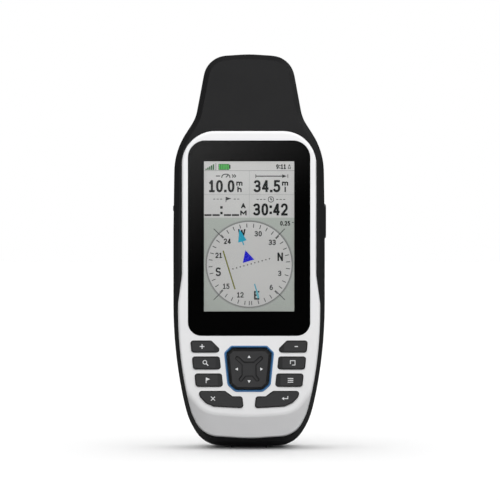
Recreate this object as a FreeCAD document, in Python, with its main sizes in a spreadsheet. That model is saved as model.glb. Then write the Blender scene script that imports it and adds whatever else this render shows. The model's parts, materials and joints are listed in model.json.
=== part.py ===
"""A handheld GPS navigator as a parametric FreeCAD document.

Frame: +X is the user's right, +Y runs from the screen to the back, +Z is up. The origin is the centre
of the flat foot that the navigator stands on. Everything is in millimetres and degrees.
"""
import FreeCAD
import Part
import Sketcher

import math
import os
import re

from FreeCAD import Placement, Rotation, Vector

SIZES = [
    # Silhouette of the body from the front: corner points of a rounded polygon, right half, top to bottom.
    ("crown_z", 172.3), ("crown_r", 60), ("head_x", 18.3), ("head_z", 171.0), ("head_r", 10.5),
    ("neck_x", 23.2), ("neck_z", 144.0), ("neck_r", 16), ("shoulder_x", 32.4), ("shoulder_z", 129.4),
    ("shoulder_r", 31), ("side_x", 32.9), ("side_z", 96), ("side_r", 600), ("waist_z", 40.2),
    ("waist_r", 197), ("ankle_x", 26.1), ("ankle_z", 11.5), ("ankle_r", 32), ("foot_x", 19.1),
    ("foot_z", 1.2), ("foot_r", 12.4), ("sole_z", 0.65), ("sole_r", 60),
    ("pad_reach", 8), ("pad_front_y", -4.6), ("pad_rear_y", 6.2),
    # Side profile of the body: corner points, front then back.
    ("front_y", -13.6), ("chin_z", 22), ("chin_r", 25), ("brow_z", 137), ("brow_r", 40),
    ("chin_slope", 0.297), ("brow_slope", 0.143), ("back_y", 15.2), ("bulge_y", 27.4), ("bulge_top_z", 163),
    ("bulge_low_z", 141), ("bulge_r", 16), ("nape_z", 122), ("heel_z", 36), ("heel_slope", 0.144),
    ("top_slope", 0.27), ("back_edge_r", 8), ("front_bevel", 2.4), ("wall", 2.0), ("parting_y", 1.0),
    # White bezel.
    ("bezel_y", -15.0), ("bezel_top_z", 138.1), ("bezel_x", 29.1), ("bezel_top_r", 14.4),
    ("flare_top_z", 75.6), ("flare_low_z", 63.5), ("flare_x", 30.75), ("flare_r", 10),
    ("bezel_waist_z", 38.3), ("bezel_waist_r", 172), ("bezel_ankle_x", 24.9), ("bezel_ankle_z", 15.4),
    ("bezel_ankle_r", 16.6), ("bezel_foot_x", 20.2), ("bezel_foot_z", 5.87), ("bezel_foot_r", 11.1),
    ("bezel_sole_z", 4.55), ("bezel_sole_r", 80), ("bezel_edge_r", 1.1),
    # The ridge above its chin, a shallow bowl with raised ends.
    ("smile_z", 14.6), ("smile_r", 88), ("smile_bend_x", 19.8), ("smile_bend_z", 16.3), ("smile_bend_r", 12),
    ("smile_end_x", 32), ("smile_end_z", 32.3), ("smile_slope", 0.36), ("smile_round", 4),
    # Display stack.
    ("window_width", 52.8), ("window_low_z", 49.5), ("window_top_z", 133.9), ("window_top_r", 7.4),
    ("window_low_r", 5.8), ("window_gap", 0.1), ("window_depth", 0.9), ("mask_depth", 0.15),
    ("tape_depth", 0.2), ("tape_width", 2.6), ("screen_width", 39.1), ("screen_low_z", 60.0),
    ("screen_height", 65.0), ("glass_margin", 1.2), ("glass_y", -11.6), ("glass_depth", 1.6),
    ("light_margin", 2.1), ("light_depth", 2.8), ("frame_sheet", 0.3),
    # Keys: rows from the top, outer and inner edge at the top of each key, counted from the middle.
    ("key_top_y", -15.8), ("key_back_y", -11.3), ("key_edge", 0.45), ("key_corner", 1.0), ("key_gap", 0.25),
    ("key_flange", 0.75), ("flange_depth", 0.5), ("key_travel", 0.6), ("key_taper", 0.1),
    ("facet_width", 2.1), ("facet_drop", 0.85),
    ("zoom_top_z", 47.25), ("zoom_height", 4.8), ("zoom_outer", 25.2), ("zoom_inner", 13.1),
    ("zoom_cut", 3.3), ("find_top_z", 40.35), ("find_height", 5.2), ("find_outer", 24.5),
    ("find_inner", 12.9), ("mark_top_z", 33.0), ("mark_height", 5.35), ("mark_outer", 23.4),
    ("mark_inner", 12.0), ("quit_top_z", 25.45), ("quit_outer", 21.9), ("quit_step", 10.4),
    ("quit_shelf", 7.2), ("quit_shelf_z", 23.1), ("quit_inner", 3.1), ("quit_low_z", 18.4),
    ("quit_curve_x", 15.4), ("quit_curve_z", 19.1), ("quit_bend_x", 18.7), ("quit_bend_z", 20.6),
    ("quit_corner_x", 20.9), ("quit_corner_z", 22.9),
    # Rocker and its ring, around its own middle.
    ("rocker_z", 35.2), ("ring_half", 10.0), ("ring_top", 7.8), ("ring_wide", 10.8), ("ring_narrow", 9.4),
    ("ring_side", 7.0), ("ring_foot", 6.1), ("ring_top_r", 1.2), ("ring_low_r", 3.0), ("ring_width", 0.95),
    ("ring_slope", 0.5), ("ring_y", -15.15), ("ring_back_y", -13.6),
    ("pad_inset", 1.3), ("pad_top_y", -16.6), ("pad_back_y", -11.9), ("pad_bevel", 1.0), ("cross_reach", 7.5),
    ("cross_low_reach", 6.3), ("cross_width", 1.2), ("cross_half", 2.9), ("cross_depth", 0.6),
    ("cross_bevel", 0.3), ("rocker_tilt", 4),
    # Keypad mat, switches and main board.
    ("mat_y", -9.1), ("mat_depth", 1.0), ("plunger_r", 1.6), ("plunger_depth", 1.2), ("board_y", -5.8),
    ("board_depth", 1.6), ("board_x", 28.2), ("board_top_z", 128.5), ("board_low_z", 16.5),
    ("board_low_x", 22.4), ("board_waist_z", 50), ("dome_r", 2.3), ("dome_depth", 0.35),
    # Power button on the right side, USB port and cap on the left.
    ("side_key_z", 99.3), ("side_key_y", -3.8), ("side_key_length", 15.8), ("side_key_width", 6.4),
    ("side_key_proud", 0.75), ("side_key_travel", 0.7), ("cap_length", 15.5), ("cap_width", 7.4),
    ("cap_depth", 1.6), ("port_width", 7.7), ("port_height", 3.9), ("port_length", 9.2), ("port_sheet", 0.35),
    # Battery bay and door.
    ("cell_r", 7.25), ("cell_length", 50.5), ("cell_x", 7.6), ("cell_y", 5.5), ("spring_room", 5.4),
    ("bay_x", 15.4), ("bay_low_z", 36.0), ("bay_top_z", 93.2), ("bay_floor_y", -1.8), ("bay_wall", 1.4),
    ("door_x", 17.8), ("door_low_z", 14.0), ("door_top_z", 96.6), ("door_r", 6), ("door_gap", 0.25),
    ("door_wall", 1.8),
    # Door latch.
    ("latch_z", 25.0), ("dish_r", 8.0), ("dish_floor_y", 9.0), ("dish_wall", 1.2), ("stud_r", 2.3),
    ("stud_head_r", 4.2), ("stud_tip_y", 1.6), ("insert_r", 3.4), ("insert_y", 1.0), ("well_gap", 0.35),
    ("well_wall", 1.2), ("well_floor_y", 6.6), ("ring_wire_r", 0.85), ("ring_bend_r", 6.7),
    ("latch_axis_y", 10.6),
    # Mounting spine, lanyard bar and grips.
    ("spine_low_z", 99.0), ("spine_length", 18), ("spine_stem", 7), ("spine_flange", 10), ("spine_y", 18.4),
    ("spine_flange_depth", 1.5), ("bar_r", 1.1), ("bar_y", 5.6), ("lanyard_x", 8), ("lanyard_low_z", 5.2),
    ("lanyard_top_z", 12.6), ("lanyard_floor_y", -0.1), ("grip_depth", 1.2), ("grip_low_z", 32),
    ("grip_top_z", 86), ("grip_front_y", 2.2), ("grip_back_y", 11.2), ("grip_ribs", 9),
    # Antenna in the head.
    ("helix_r", 6.4), ("helix_height", 28), ("helix_low_z", 137.4), ("helix_y", 8.5), ("strip_depth", 0.25),
    ("strip_width", 2.2), ("foot_disc_r", 8.2), ("foot_disc_depth", 1.6),
    # Screws.
    ("top_boss_x", 26.4), ("top_boss_z", 119), ("low_boss_x", 18.8), ("low_boss_z", 11.6), ("boss_r", 3.1),
    ("screw_r", 1.1), ("screw_head_r", 2.2), ("screw_head", 1.5), ("top_seat_y", 12.4), ("low_seat_y", 7.4),
    ("screw_tip_y", -5.0), ("clearance", 0.06),
]

doc = FreeCAD.newDocument("Navigator")
sheet = doc.addObject("Spreadsheet::Sheet", "Sizes")
for row, (alias, value) in enumerate(SIZES, start=1):
    sheet.set("A%d" % row, alias)
    sheet.set("B%d" % row, str(value))
    sheet.setAlias("B%d" % row, alias)
doc.recompute()

ALIASES = {alias for alias, _ in SIZES}
PARTS = []
FAR = 60.0


def size(alias):
    """The number in a cell of the sheet."""
    return float(getattr(sheet, alias))


def bound(expression):
    """An expression over aliases, as other objects of the document write it."""
    return re.sub(r"[A-Za-z_]\w*", lambda m: "Sizes." + m.group() if m.group() in ALIASES else m.group(),
                  str(expression))


def number(expression):
    """The value that an expression over aliases has now."""
    return float(sheet.evalExpression(str(expression)))


# ---------------------------------------------------------------- outlines

def rounded_loop(corners, place):
    """A closed wire through corners (a, b, radius), each corner rounded by a tangent arc."""
    rounds = []
    for i, (a, b, radius) in enumerate(corners):
        here = Vector(a, b, 0)
        before = (Vector(*corners[i - 1][:2], 0) - here).normalize()
        after = (Vector(*corners[(i + 1) % len(corners)][:2], 0) - here).normalize()
        half = before.getAngle(after) / 2
        reach = radius / math.tan(half)
        middle = (before + after).normalize() * (radius / math.sin(half) - radius)
        rounds.append((here + before * reach, here + middle, here + after * reach, radius))
    edges = []
    for i, (start, middle, end, radius) in enumerate(rounds):
        if radius > 0:
            edges.append(Part.Arc(place(start), place(middle), place(end)).toShape())
        following = rounds[(i + 1) % len(rounds)][0]
        if (following - end).Length > 1e-6:
            edges.append(Part.LineSegment(place(end), place(following)).toShape())
    return Part.Wire(edges)


def front_view(point):
    """An outline point drawn as the front sees it."""
    return Vector(point.x, 0, point.y)


def side_view(point):
    """An outline point (y, z) drawn as the side sees it."""
    return Vector(0, point.x, point.y)


def both_sides(right):
    """Corners of the right half, top to bottom, followed by their mirror images."""
    return right + [(-a, b, r) for a, b, r in reversed(right) if a]


def rectangle(x0, z0, x1, z1, radius):
    return [(x0, z1, radius), (x1, z1, radius), (x1, z0, radius), (x0, z0, radius)]


def prism(corners, y0, y1):
    """A solid of a rounded outline seen from the front, from y0 back to y1."""
    face = Part.Face(rounded_loop(corners, front_view))
    face.translate(Vector(0, y0, 0))
    return face.extrude(Vector(0, y1 - y0, 0))


def grown(corners, margin, y0, y1):
    """The same with the outline moved out by margin."""
    face = Part.Face(rounded_loop(corners, front_view)).makeOffset2D(margin)
    face.translate(Vector(0, y0, 0))
    return face.extrude(Vector(0, y1 - y0, 0))


def block(x0, y0, z0, x1, y1, z1):
    return Part.makeBox(x1 - x0, y1 - y0, z1 - z0, Vector(x0, y0, z0))


def rod_y(x, z, radius, y0, y1):
    return Part.makeCylinder(radius, y1 - y0, Vector(x, y0, z), Vector(0, 1, 0))


def silhouette():
    return both_sides([
        (0, size("crown_z"), size("crown_r")), (size("head_x"), size("head_z"), size("head_r")),
        (size("neck_x"), size("neck_z"), size("neck_r")),
        (size("shoulder_x"), size("shoulder_z"), size("shoulder_r")),
        (size("side_x"), size("side_z"), size("side_r")), (size("side_x"), size("waist_z"), size("waist_r")),
        (size("ankle_x"), size("ankle_z"), size("ankle_r")),
        (size("foot_x"), size("foot_z"), size("foot_r")), (0, size("sole_z"), size("sole_r"))])


def profile():
    front, back = size("front_y"), size("back_y")
    low, high = -12, 190
    return [
        (front, size("chin_z"), size("chin_r")), (front, size("brow_z"), size("brow_r")),
        (front + (high - size("brow_z")) * size("brow_slope"), high, 0),
        (size("bulge_y") - (high - size("bulge_top_z")) * size("top_slope"), high, 0),
        (size("bulge_y"), size("bulge_top_z"), 30), (size("bulge_y"), size("bulge_low_z"), size("bulge_r")),
        (back, size("nape_z"), size("bulge_r")), (back, size("heel_z"), 70),
        (back - (size("heel_z") - low) * size("heel_slope"), low, 0),
        (front + (size("chin_z") - low) * size("chin_slope"), low, 0)]


def bezel_outline():
    return both_sides([
        (size("bezel_x"), size("bezel_top_z"), size("bezel_top_r")),
        (size("bezel_x"), size("flare_top_z"), size("flare_r")),
        (size("flare_x"), size("flare_low_z"), size("flare_r")),
        (size("flare_x") + 0.01, size("bezel_waist_z"), size("bezel_waist_r")),
        (size("bezel_ankle_x"), size("bezel_ankle_z"), size("bezel_ankle_r")),
        (size("bezel_foot_x"), size("bezel_foot_z"), size("bezel_foot_r")),
        (0, size("bezel_sole_z"), size("bezel_sole_r"))])


def smoothed(wire, points=120):
    """One closed curve that follows a wire of lines and arcs, so that its solid has one continuous edge."""
    curve = Part.BSplineCurve()
    curve.interpolate(Points=wire.discretize(Number=points + 1)[:-1], PeriodicFlag=True)
    return Part.Wire([curve.toShape()])


def rim_edges(solid, facing):
    """The sharp edges where the side wall meets the front (facing -1) or the back (facing 1)."""
    found = []
    for edge in solid.Edges:
        middle = edge.valueAt((edge.FirstParameter + edge.LastParameter) / 2)
        normals = [face.normalAt(*face.Surface.parameter(middle))
                   for face in solid.Faces if any(edge.isSame(other) for other in face.Edges)]
        if len(normals) == 2 and normals[0].getAngle(normals[1]) > 0.3:
            if any(abs(n.x) < 1e-6 and n.y * facing > 0.3 for n in normals):
                found.append(edge)
    return found


def body_solid(inset):
    """The body's full solid, its surface moved in by inset."""
    front = Part.Face(rounded_loop(silhouette(), front_view))
    side = Part.Face(rounded_loop(profile(), side_view))
    if inset:
        front = front.makeOffset2D(-inset)
        side = side.makeOffset2D(-inset)
    front = Part.Face(smoothed(front.OuterWire))
    front.translate(Vector(0, -FAR, 0))
    side.translate(Vector(-FAR, 0, 0))
    solid = front.extrude(Vector(0, 2 * FAR, 0)).common(side.extrude(Vector(2 * FAR, 0, 0))).Solids[0]
    solid = solid.makeFillet(size("back_edge_r") - 0.9 * inset, rim_edges(solid, 1))
    return solid.makeChamfer(size("front_bevel") - 0.6 * inset, rim_edges(solid, -1))


# ---------------------------------------------------------------- document objects

def keep(thing, label):
    """Marks an object of the document as a finished piece and names it."""
    thing.Label = label
    PARTS.append(thing)
    return thing


def shape_part(label, shape):
    """A piece whose shape neither sketches nor primitives make."""
    thing = doc.addObject("Part::Feature", label)
    thing.Shape = shape
    return keep(thing, label)


def box(name, low, lengths, label=None):
    """A Part::Box whose corner and sides are expressions over the sheet."""
    thing = doc.addObject("Part::Box", name)
    for side, expression in zip(("Length", "Width", "Height"), lengths):
        thing.setExpression(side, bound(expression))
    for axis, expression in zip("xyz", low):
        thing.setExpression("Placement.Base." + axis, bound(expression))
    return keep(thing, label) if label else thing


def cylinder(name, base, axis, radius, length, label=None):
    """A Part::Cylinder along x, y or z whose sizes are expressions over the sheet."""
    turn = {"x": Rotation(Vector(0, 1, 0), 90), "y": Rotation(Vector(1, 0, 0), -90), "z": Rotation()}[axis]
    thing = doc.addObject("Part::Cylinder", name)
    thing.Placement = Placement(Vector(), turn)
    thing.setExpression("Radius", bound(radius))
    thing.setExpression("Height", bound(length))
    for name_, expression in zip("xyz", base):
        thing.setExpression("Placement.Base." + name_, bound(expression))
    return keep(thing, label) if label else thing


def fused(name, pieces, label=None):
    thing = doc.addObject("Part::MultiFuse", name)
    thing.Shapes = pieces
    thing.Refine = True
    return keep(thing, label) if label else thing


def cut(name, base, tool, label=None):
    thing = doc.addObject("Part::Cut", name)
    thing.Base = base
    thing.Tool = tool
    return keep(thing, label) if label else thing


def plane_of(body, role):
    return next(f for f in body.Origin.OriginFeatures if f.Role == role)


def sketch_on(body, name, back, loops, role="XZ_Plane"):
    """A sketch of polygons whose corners are pairs of expressions; on XZ it looks at the front from back."""
    sketch = body.newObject("Sketcher::SketchObject", name)
    sketch.AttachmentSupport = [(plane_of(body, role), "")]
    sketch.MapMode = "FlatFace"
    sketch.setExpression("AttachmentOffset.Base.z", bound("-(%s)" % back))
    for loop in loops:
        corners = [(number(a), number(b)) for a, b in loop]
        first = sketch.GeometryCount
        for i, (a, b) in enumerate(corners):
            c, d = corners[(i + 1) % len(corners)]
            sketch.addGeometry(Part.LineSegment(Vector(a, b, 0), Vector(c, d, 0)))
        for i, (a, b) in enumerate(loop):
            line = first + i
            sketch.addConstraint(Sketcher.Constraint("Coincident", line, 2, first + (i + 1) % len(loop), 1))
            for kind, expression in (("DistanceX", a), ("DistanceY", b)):
                at = sketch.addConstraint(Sketcher.Constraint(kind, -1, 1, line, 1, number(expression)))
                sketch.setExpression("Constraints[%d]" % at, bound(expression))
    return sketch


def padded(label, back, depth, loops):
    """A body padded towards the front, from y = back over depth."""
    body = doc.addObject("PartDesign::Body", label)
    sketch = sketch_on(body, label + "_sketch", back, loops)
    pad = body.newObject("PartDesign::Pad", label + "_pad")
    pad.Profile = sketch
    pad.setExpression("Length", bound(depth))
    doc.recompute()
    return keep(body, label)


def edge_names(shape, test):
    return ["Edge%d" % (i + 1) for i, e in enumerate(shape.Edges)
            if test(e.valueAt(e.FirstParameter), e.valueAt(e.LastParameter))]


def dressed(body, kind, value, test):
    """Adds a fillet or chamfer on the edges whose two ends pass a test."""
    tip = body.Tip
    names = edge_names(tip.Shape, test)
    feature = body.newObject("PartDesign::" + kind, body.Name + kind)
    feature.Base = (tip, names)
    feature.setExpression("Radius" if kind == "Fillet" else "Size", bound(value))
    doc.recompute()
    return body


def upright(start, end):
    """An edge that runs from front to back."""
    return abs(start.x - end.x) < 1e-4 and abs(start.z - end.z) < 1e-4 and abs(start.y - end.y) > 1e-4


def at_depth(y):
    return lambda start, end: abs(start.y - y) < 1e-4 and abs(end.y - y) < 1e-4


# ---------------------------------------------------------------- keys

def zoom_outline(side):
    top, low = "zoom_top_z", "zoom_top_z - zoom_height"
    return [("%d * zoom_outer" % side, top), ("%d * (zoom_inner + zoom_cut)" % side, top),
            ("%d * zoom_inner" % side, "zoom_top_z - zoom_cut"), ("%d * zoom_inner" % side, low),
            ("%d * (zoom_outer - key_taper * zoom_height)" % side, low)]


def row_outline(side, row):
    """A key that leans inward towards its foot."""
    lean = "key_taper * %s_height" % row
    low = "%s_top_z - %s_height" % (row, row)
    return [("%d * %s_outer" % (side, row), row + "_top_z"), ("%d * %s_inner" % (side, row), row + "_top_z"),
            ("%d * (%s_inner - %s)" % (side, row, lean), low),
            ("%d * (%s_outer - %s)" % (side, row, lean), low)]


def quit_outline(side):
    corners = [("quit_outer", "quit_top_z"), ("quit_step", "quit_top_z"), ("quit_shelf", "quit_shelf_z"),
               ("quit_inner", "quit_shelf_z"), ("quit_inner - 0.5", "quit_low_z"),
               ("quit_curve_x", "quit_curve_z"), ("quit_bend_x", "quit_bend_z"),
               ("quit_corner_x", "quit_corner_z")]
    return [("%d * (%s)" % (side, a), b) for a, b in corners]


KEYS = {"key_zoom_in": zoom_outline(-1), "key_zoom_out": zoom_outline(1),
        "key_find": row_outline(-1, "find"), "key_page": row_outline(1, "find"),
        "key_mark": row_outline(-1, "mark"), "key_menu": row_outline(1, "mark"),
        "key_quit": quit_outline(-1), "key_enter": quit_outline(1)}


def key_corners(outline, radius):
    return [(number(a), number(b), radius) for a, b in outline]


def key_middle(outline):
    face = Part.Face(rounded_loop(key_corners(outline, 0), front_view))
    return face.CenterOfMass


def key_facet(side, inner):
    """The wedge that slopes a key's end down towards the rocker."""
    top, drop, wide = size("key_top_y"), size("facet_drop"), size("facet_width")
    wedge = Part.Face(Part.makePolygon([
        Vector(side * (inner + wide), top, 0), Vector(side * (inner - 1), top + drop * (wide + 1) / wide, 0),
        Vector(side * (inner - 1), top - 1, 0), Vector(side * (inner + wide), top - 1, 0),
        Vector(side * (inner + wide), top, 0)]))
    return wedge.extrude(Vector(0, 0, 60))


def build_keys():
    for label, outline in KEYS.items():
        body = padded(label + "_blank", "key_back_y", "key_back_y - key_top_y", [outline])
        dressed(body, "Fillet", "key_corner", upright)
        dressed(body, "Fillet", "key_edge", at_depth(size("key_top_y")))
        rim = grown(key_corners(outline, size("key_corner")), size("key_flange"), size("key_back_y"),
                    size("key_back_y") + size("flange_depth"))
        flange = doc.addObject("Part::Feature", label + "_flange")
        flange.Shape = rim
        PARTS.remove(body)
        if label not in ("key_quit", "key_enter"):
            wedge = doc.addObject("Part::Feature", label + "_wedge")
            inner = min(abs(number(a)) for a, _ in outline)
            wedge.Shape = key_facet(1 if number(outline[0][0]) > 0 else -1, inner)
            body = cut(label + "_sloped", body, wedge)
        fused(label + "_whole", [body, flange], label)


def ring_outline():
    """Eight corners round the rocker's middle, wider at the top."""
    right = [("ring_top", "ring_half"), ("ring_wide", "ring_side"), ("ring_narrow", "-ring_side"),
             ("ring_foot", "-ring_half")]
    return right + [("-%s" % a, b) for a, b in reversed(right)]


def ring_corners():
    rounding = {True: size("ring_top_r"), False: size("ring_low_r")}
    return [(number(a), size("rocker_z") + number(b), rounding[number(b) > 0]) for a, b in ring_outline()]


def flat_faces(solid, y):
    """The faces of a solid that lie in one plane across its depth."""
    return [face for face in solid.Faces if face.BoundBox.YLength < 1e-6 and abs(face.CenterOfMass.y - y) < 1e-6]


def front_edges(solid, y):
    return [edge for face in flat_faces(solid, y) for edge in face.Edges]


def hole_edges(solid, y):
    """The edges of the holes in a solid's face at depth y."""
    return [edge for face in flat_faces(solid, y) for wire in face.Wires
            if not wire.isSame(face.OuterWire) for edge in wire.Edges]


def build_rocker():
    corners = ring_corners()
    ring = grown(corners, -0.001, size("ring_y"), size("ring_back_y"))
    ring = ring.makeChamfer(0.15, front_edges(ring, size("ring_y")))
    ring = ring.cut(grown(corners, -size("ring_width"), size("ring_y") - 1, size("ring_back_y") + 1))
    shape_part("rocker_ring", ring.makeChamfer(size("ring_slope"), hole_edges(ring, size("ring_y"))))

    pad = grown(corners, -size("pad_inset"), size("pad_top_y"), size("pad_back_y"))
    pad = pad.makeChamfer(size("pad_bevel"), front_edges(pad, size("pad_top_y")))
    floor = size("pad_top_y") + size("cross_depth")
    middle = Vector(0, 0, size("rocker_z"))
    half, arm_half = size("cross_half"), size("cross_width") / 2
    cross = prism(rectangle(-half, middle.z - half, half, middle.z + half, 0.6), size("pad_top_y") - 1, floor)
    for angle, reach in ((-43, "cross_reach"), (-137, "cross_reach"), (51.5, "cross_low_reach"),
                         (128.5, "cross_low_reach")):
        arm = prism(rectangle(0, -arm_half, size(reach), arm_half, arm_half - 0.05),
                    size("pad_top_y") - 1, floor)
        arm.rotate(Vector(), Vector(0, 1, 0), angle)
        arm.translate(middle)
        cross = cross.fuse(arm)
    pad = pad.cut(cross.removeSplitter())
    pad = pad.makeChamfer(size("cross_bevel"), hole_edges(pad, size("pad_top_y")))
    post = rod_y(0, middle.z, 2.0, size("pad_back_y"), size("mat_y") - size("mat_depth") - 0.75)
    shape_part("rocker_pad", pad.cut(rod_y(0, middle.z, 2.85, size("pad_back_y") - 1.5, size("pad_back_y"))))
    carrier = rod_y(0, middle.z, 2.5, size("pad_back_y") - 1.15, size("pad_back_y") + 0.1).fuse(post)
    shape_part("rocker_carrier", carrier.removeSplitter())


# ---------------------------------------------------------------- display

def window_outline():
    half = size("window_width") / 2
    low, top = size("window_low_z"), size("window_top_z")
    return [(half, top, size("window_top_r")), (half, low, size("window_low_r")),
            (-half, low, size("window_low_r")), (-half, top, size("window_top_r"))]


def window_loop():
    return [("-window_width / 2", "window_low_z"), ("window_width / 2", "window_low_z"),
            ("window_width / 2", "window_top_z"), ("-window_width / 2", "window_top_z")]


def inner_loop(half_width, low, top):
    return [("-(%s)" % half_width, low), (half_width, low), (half_width, top), ("-(%s)" % half_width, top)]


def round_window(body):
    """Rounds the window's corners: large ones at the top, smaller ones at the foot."""
    top, low, half = size("window_top_z"), size("window_low_z"), size("window_width") / 2
    dressed(body, "Fillet", "window_top_r",
            lambda s, e: upright(s, e) and abs(s.z - top) < 1e-4 and abs(abs(s.x) - half) < 1e-4)
    dressed(body, "Fillet", "window_low_r",
            lambda s, e: upright(s, e) and abs(s.z - low) < 1e-4 and abs(abs(s.x) - half) < 1e-4)


def build_display():
    lens = padded("display_window", "front_y - tape_depth - mask_depth", "window_depth", [window_loop()])
    round_window(lens)
    face = size("front_y") - size("tape_depth") - size("mask_depth") - size("window_depth")
    dressed(lens, "Chamfer", "0.15", at_depth(face))
    mask = padded("window_mask", "front_y - tape_depth", "mask_depth",
                  [window_loop(), inner_loop("screen_width / 2", "screen_low_z", "screen_low_z + screen_height")])
    round_window(mask)
    tape = padded("window_tape", "front_y", "tape_depth",
                  [window_loop(), inner_loop("window_width / 2 - tape_width", "window_low_z + tape_width",
                                             "window_top_z - tape_width")])
    round_window(tape)
    box("lcd_glass", ("-screen_width / 2 - glass_margin", "glass_y - glass_depth", "screen_low_z - glass_margin"),
        ("screen_width + 2 * glass_margin", "glass_depth", "screen_height + 2 * glass_margin"), "lcd_glass")
    box("lcd_backlight", ("-screen_width / 2 - light_margin", "glass_y", "screen_low_z - light_margin"),
        ("screen_width + 2 * light_margin", "light_depth", "screen_height + 2 * light_margin"), "lcd_backlight")
    outer = box("frame_outer", ("-screen_width / 2 - light_margin - frame_sheet", "glass_y",
                                "screen_low_z - light_margin - frame_sheet"),
                ("screen_width + 2 * (light_margin + frame_sheet)", "light_depth + frame_sheet",
                 "screen_height + 2 * (light_margin + frame_sheet)"))
    inner = box("frame_inner", ("-screen_width / 2 - light_margin", "glass_y - 1", "screen_low_z - light_margin"),
                ("screen_width + 2 * light_margin", "light_depth + 1", "screen_height + 2 * light_margin"))
    cut("lcd_frame_cut", outer, inner, "lcd_frame")
    low = size("screen_low_z") - size("light_margin") - size("frame_sheet")
    front = size("board_y") - size("board_depth")
    ribbon = Part.Face(Part.makePolygon([
        Vector(0, -10.0, low), Vector(0, -10.0, low - 3), Vector(0, front, low - 3.6), Vector(0, front, low - 6),
        Vector(0, front - 0.2, low - 6), Vector(0, front - 0.2, low - 3.7), Vector(0, -10.2, low - 3.1),
        Vector(0, -10.2, low), Vector(0, -10.0, low)]))
    ribbon.translate(Vector(-8, 0, 0))
    shape_part("lcd_flex", ribbon.extrude(Vector(16, 0, 0)))


# ---------------------------------------------------------------- boards and what is on them

def build_boards():
    corners = [("board_x - 4", "board_top_z"), ("board_x", "board_top_z - 6"), ("board_x", "board_waist_z"),
               ("board_low_x", "board_low_z")]
    outline = corners + [("-(%s)" % a, b) for a, b in reversed(corners)]
    board = padded("board_blank", "board_y", "board_depth", [outline])
    PARTS.remove(board)
    holes = [cylinder("board_hole_%d" % side, ("%d * top_boss_x" % side, "board_y - board_depth - 1",
                                               "top_boss_z"), "y", "boss_r + 0.3", "board_depth + 2")
             for side in (-1, 1)]
    holes += [cylinder("board_fix_%d" % i, (x, "board_y - board_depth - 1", z), "y", "0.95", "board_depth + 2")
              for i, (x, z) in enumerate(board_screw_places())]
    cut("main_board_cut", board, fused("board_holes", holes), "main_board")

    mat_front = "mat_y - mat_depth"
    half = "board_low_x + 1.6"
    mat = padded("mat_blank", "mat_y", "mat_depth",
                 [[("-(%s)" % half, "48.4"), (half, "48.4"), ("board_low_x - 2", "17.2"),
                   ("2 - board_low_x", "17.2")]])
    PARTS.remove(mat)
    places = [key_middle(outline) for outline in KEYS.values()]
    rock = size("rocker_z")
    places += [Vector(x, 0, rock + z) for x, z in ((5.6, 0), (-5.6, 0), (0, 5.6), (0, -5.6))]
    plungers = [cylinder("plunger_%d" % i, ("%.3f" % p.x, "mat_y", "%.3f" % p.z), "y", "plunger_r", "plunger_depth")
                for i, p in enumerate(places)]
    fused("keypad_mat_whole", [mat] + plungers, "keypad_mat")
    domes = []
    for i, p in enumerate(places):
        domes.append(cylinder("dome_%d" % i, ("%.3f" % p.x, "board_y - board_depth - dome_depth", "%.3f" % p.z),
                              "y", "dome_r", "dome_depth"))
    fused("dome_group", domes, "dome_switches")

    box("processor_shield", ("-15", "board_y", "62"), ("30", "1.5", "22"), "processor_shield")
    box("radio_shield", ("-11", "board_y", "104"), ("22", "1.5", "18"), "radio_shield")
    chips = [box("chip_%d" % i, (x, "board_y", z), (w, "1.1", h))
             for i, (x, z, w, h) in enumerate((("-26", "64", "8", "8"), ("18.5", "62", "7", "10"),
                                               ("-22.4", "110.5", "5", "5"), ("19", "84", "5", "4"),
                                               ("-14", "89", "11", "9"), ("3", "90", "9", "7"),
                                               ("-24", "78", "4", "6"), ("-10", "46", "6", "6"),
                                               ("6", "47", "8", "4")))]
    fused("chips", chips, "board_chips")
    disc = cylinder("beeper_case", ("0", "board_y", "26"), "y", "6", "2.2")
    port = cylinder("beeper_port", ("0", "board_y + 1.4", "26"), "y", "1", "2")
    cut("beeper_cut", disc, port, "beeper")

    shell = box("port_shell", ("-29.0", "board_y", "side_key_z - port_width / 2"),
                ("port_length", "port_height", "port_width"))
    mouth = box("port_mouth", ("-30.0", "board_y + port_sheet", "side_key_z - port_width / 2 + port_sheet"),
                ("port_length", "port_height - 2 * port_sheet", "port_width - 2 * port_sheet"))
    blade = box("port_blade", ("-28.2", "board_y + port_height / 2 - 0.35", "side_key_z - 2.6"),
                ("port_length - 0.8", "0.7", "5.2"))
    fused("usb_port_whole", [cut("port_box", shell, mouth), blade], "usb_port")

    case = box("switch_case", ("22.6", "board_y", "side_key_z - 3"), ("5", "3.6", "6"))
    stem = box("switch_stem", ("27.6", "side_key_y - 0.7", "side_key_z - 1.2"), ("0.9", "1.4", "2.4"))
    fused("power_switch_whole", [case, stem], "power_switch")


def board_screw_places():
    return [("-25", "53.5"), ("25", "53.5"), ("-25", "109"), ("25", "109")]


# ---------------------------------------------------------------- side button and cap

def side_slab(x0, x1, length, width, radius, z=None, y=None):
    """A rounded slab that lies in a side wall: length runs up, width runs front to back."""
    z = size("side_key_z") if z is None else z
    y = size("side_key_y") if y is None else y
    corners = [(y - width / 2, z - length / 2, radius), (y - width / 2, z + length / 2, radius),
               (y + width / 2, z + length / 2, radius), (y + width / 2, z - length / 2, radius)]
    face = Part.Face(rounded_loop(corners, side_view))
    face.translate(Vector(x0, 0, 0))
    return face.extrude(Vector(x1 - x0, 0, 0))


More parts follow.
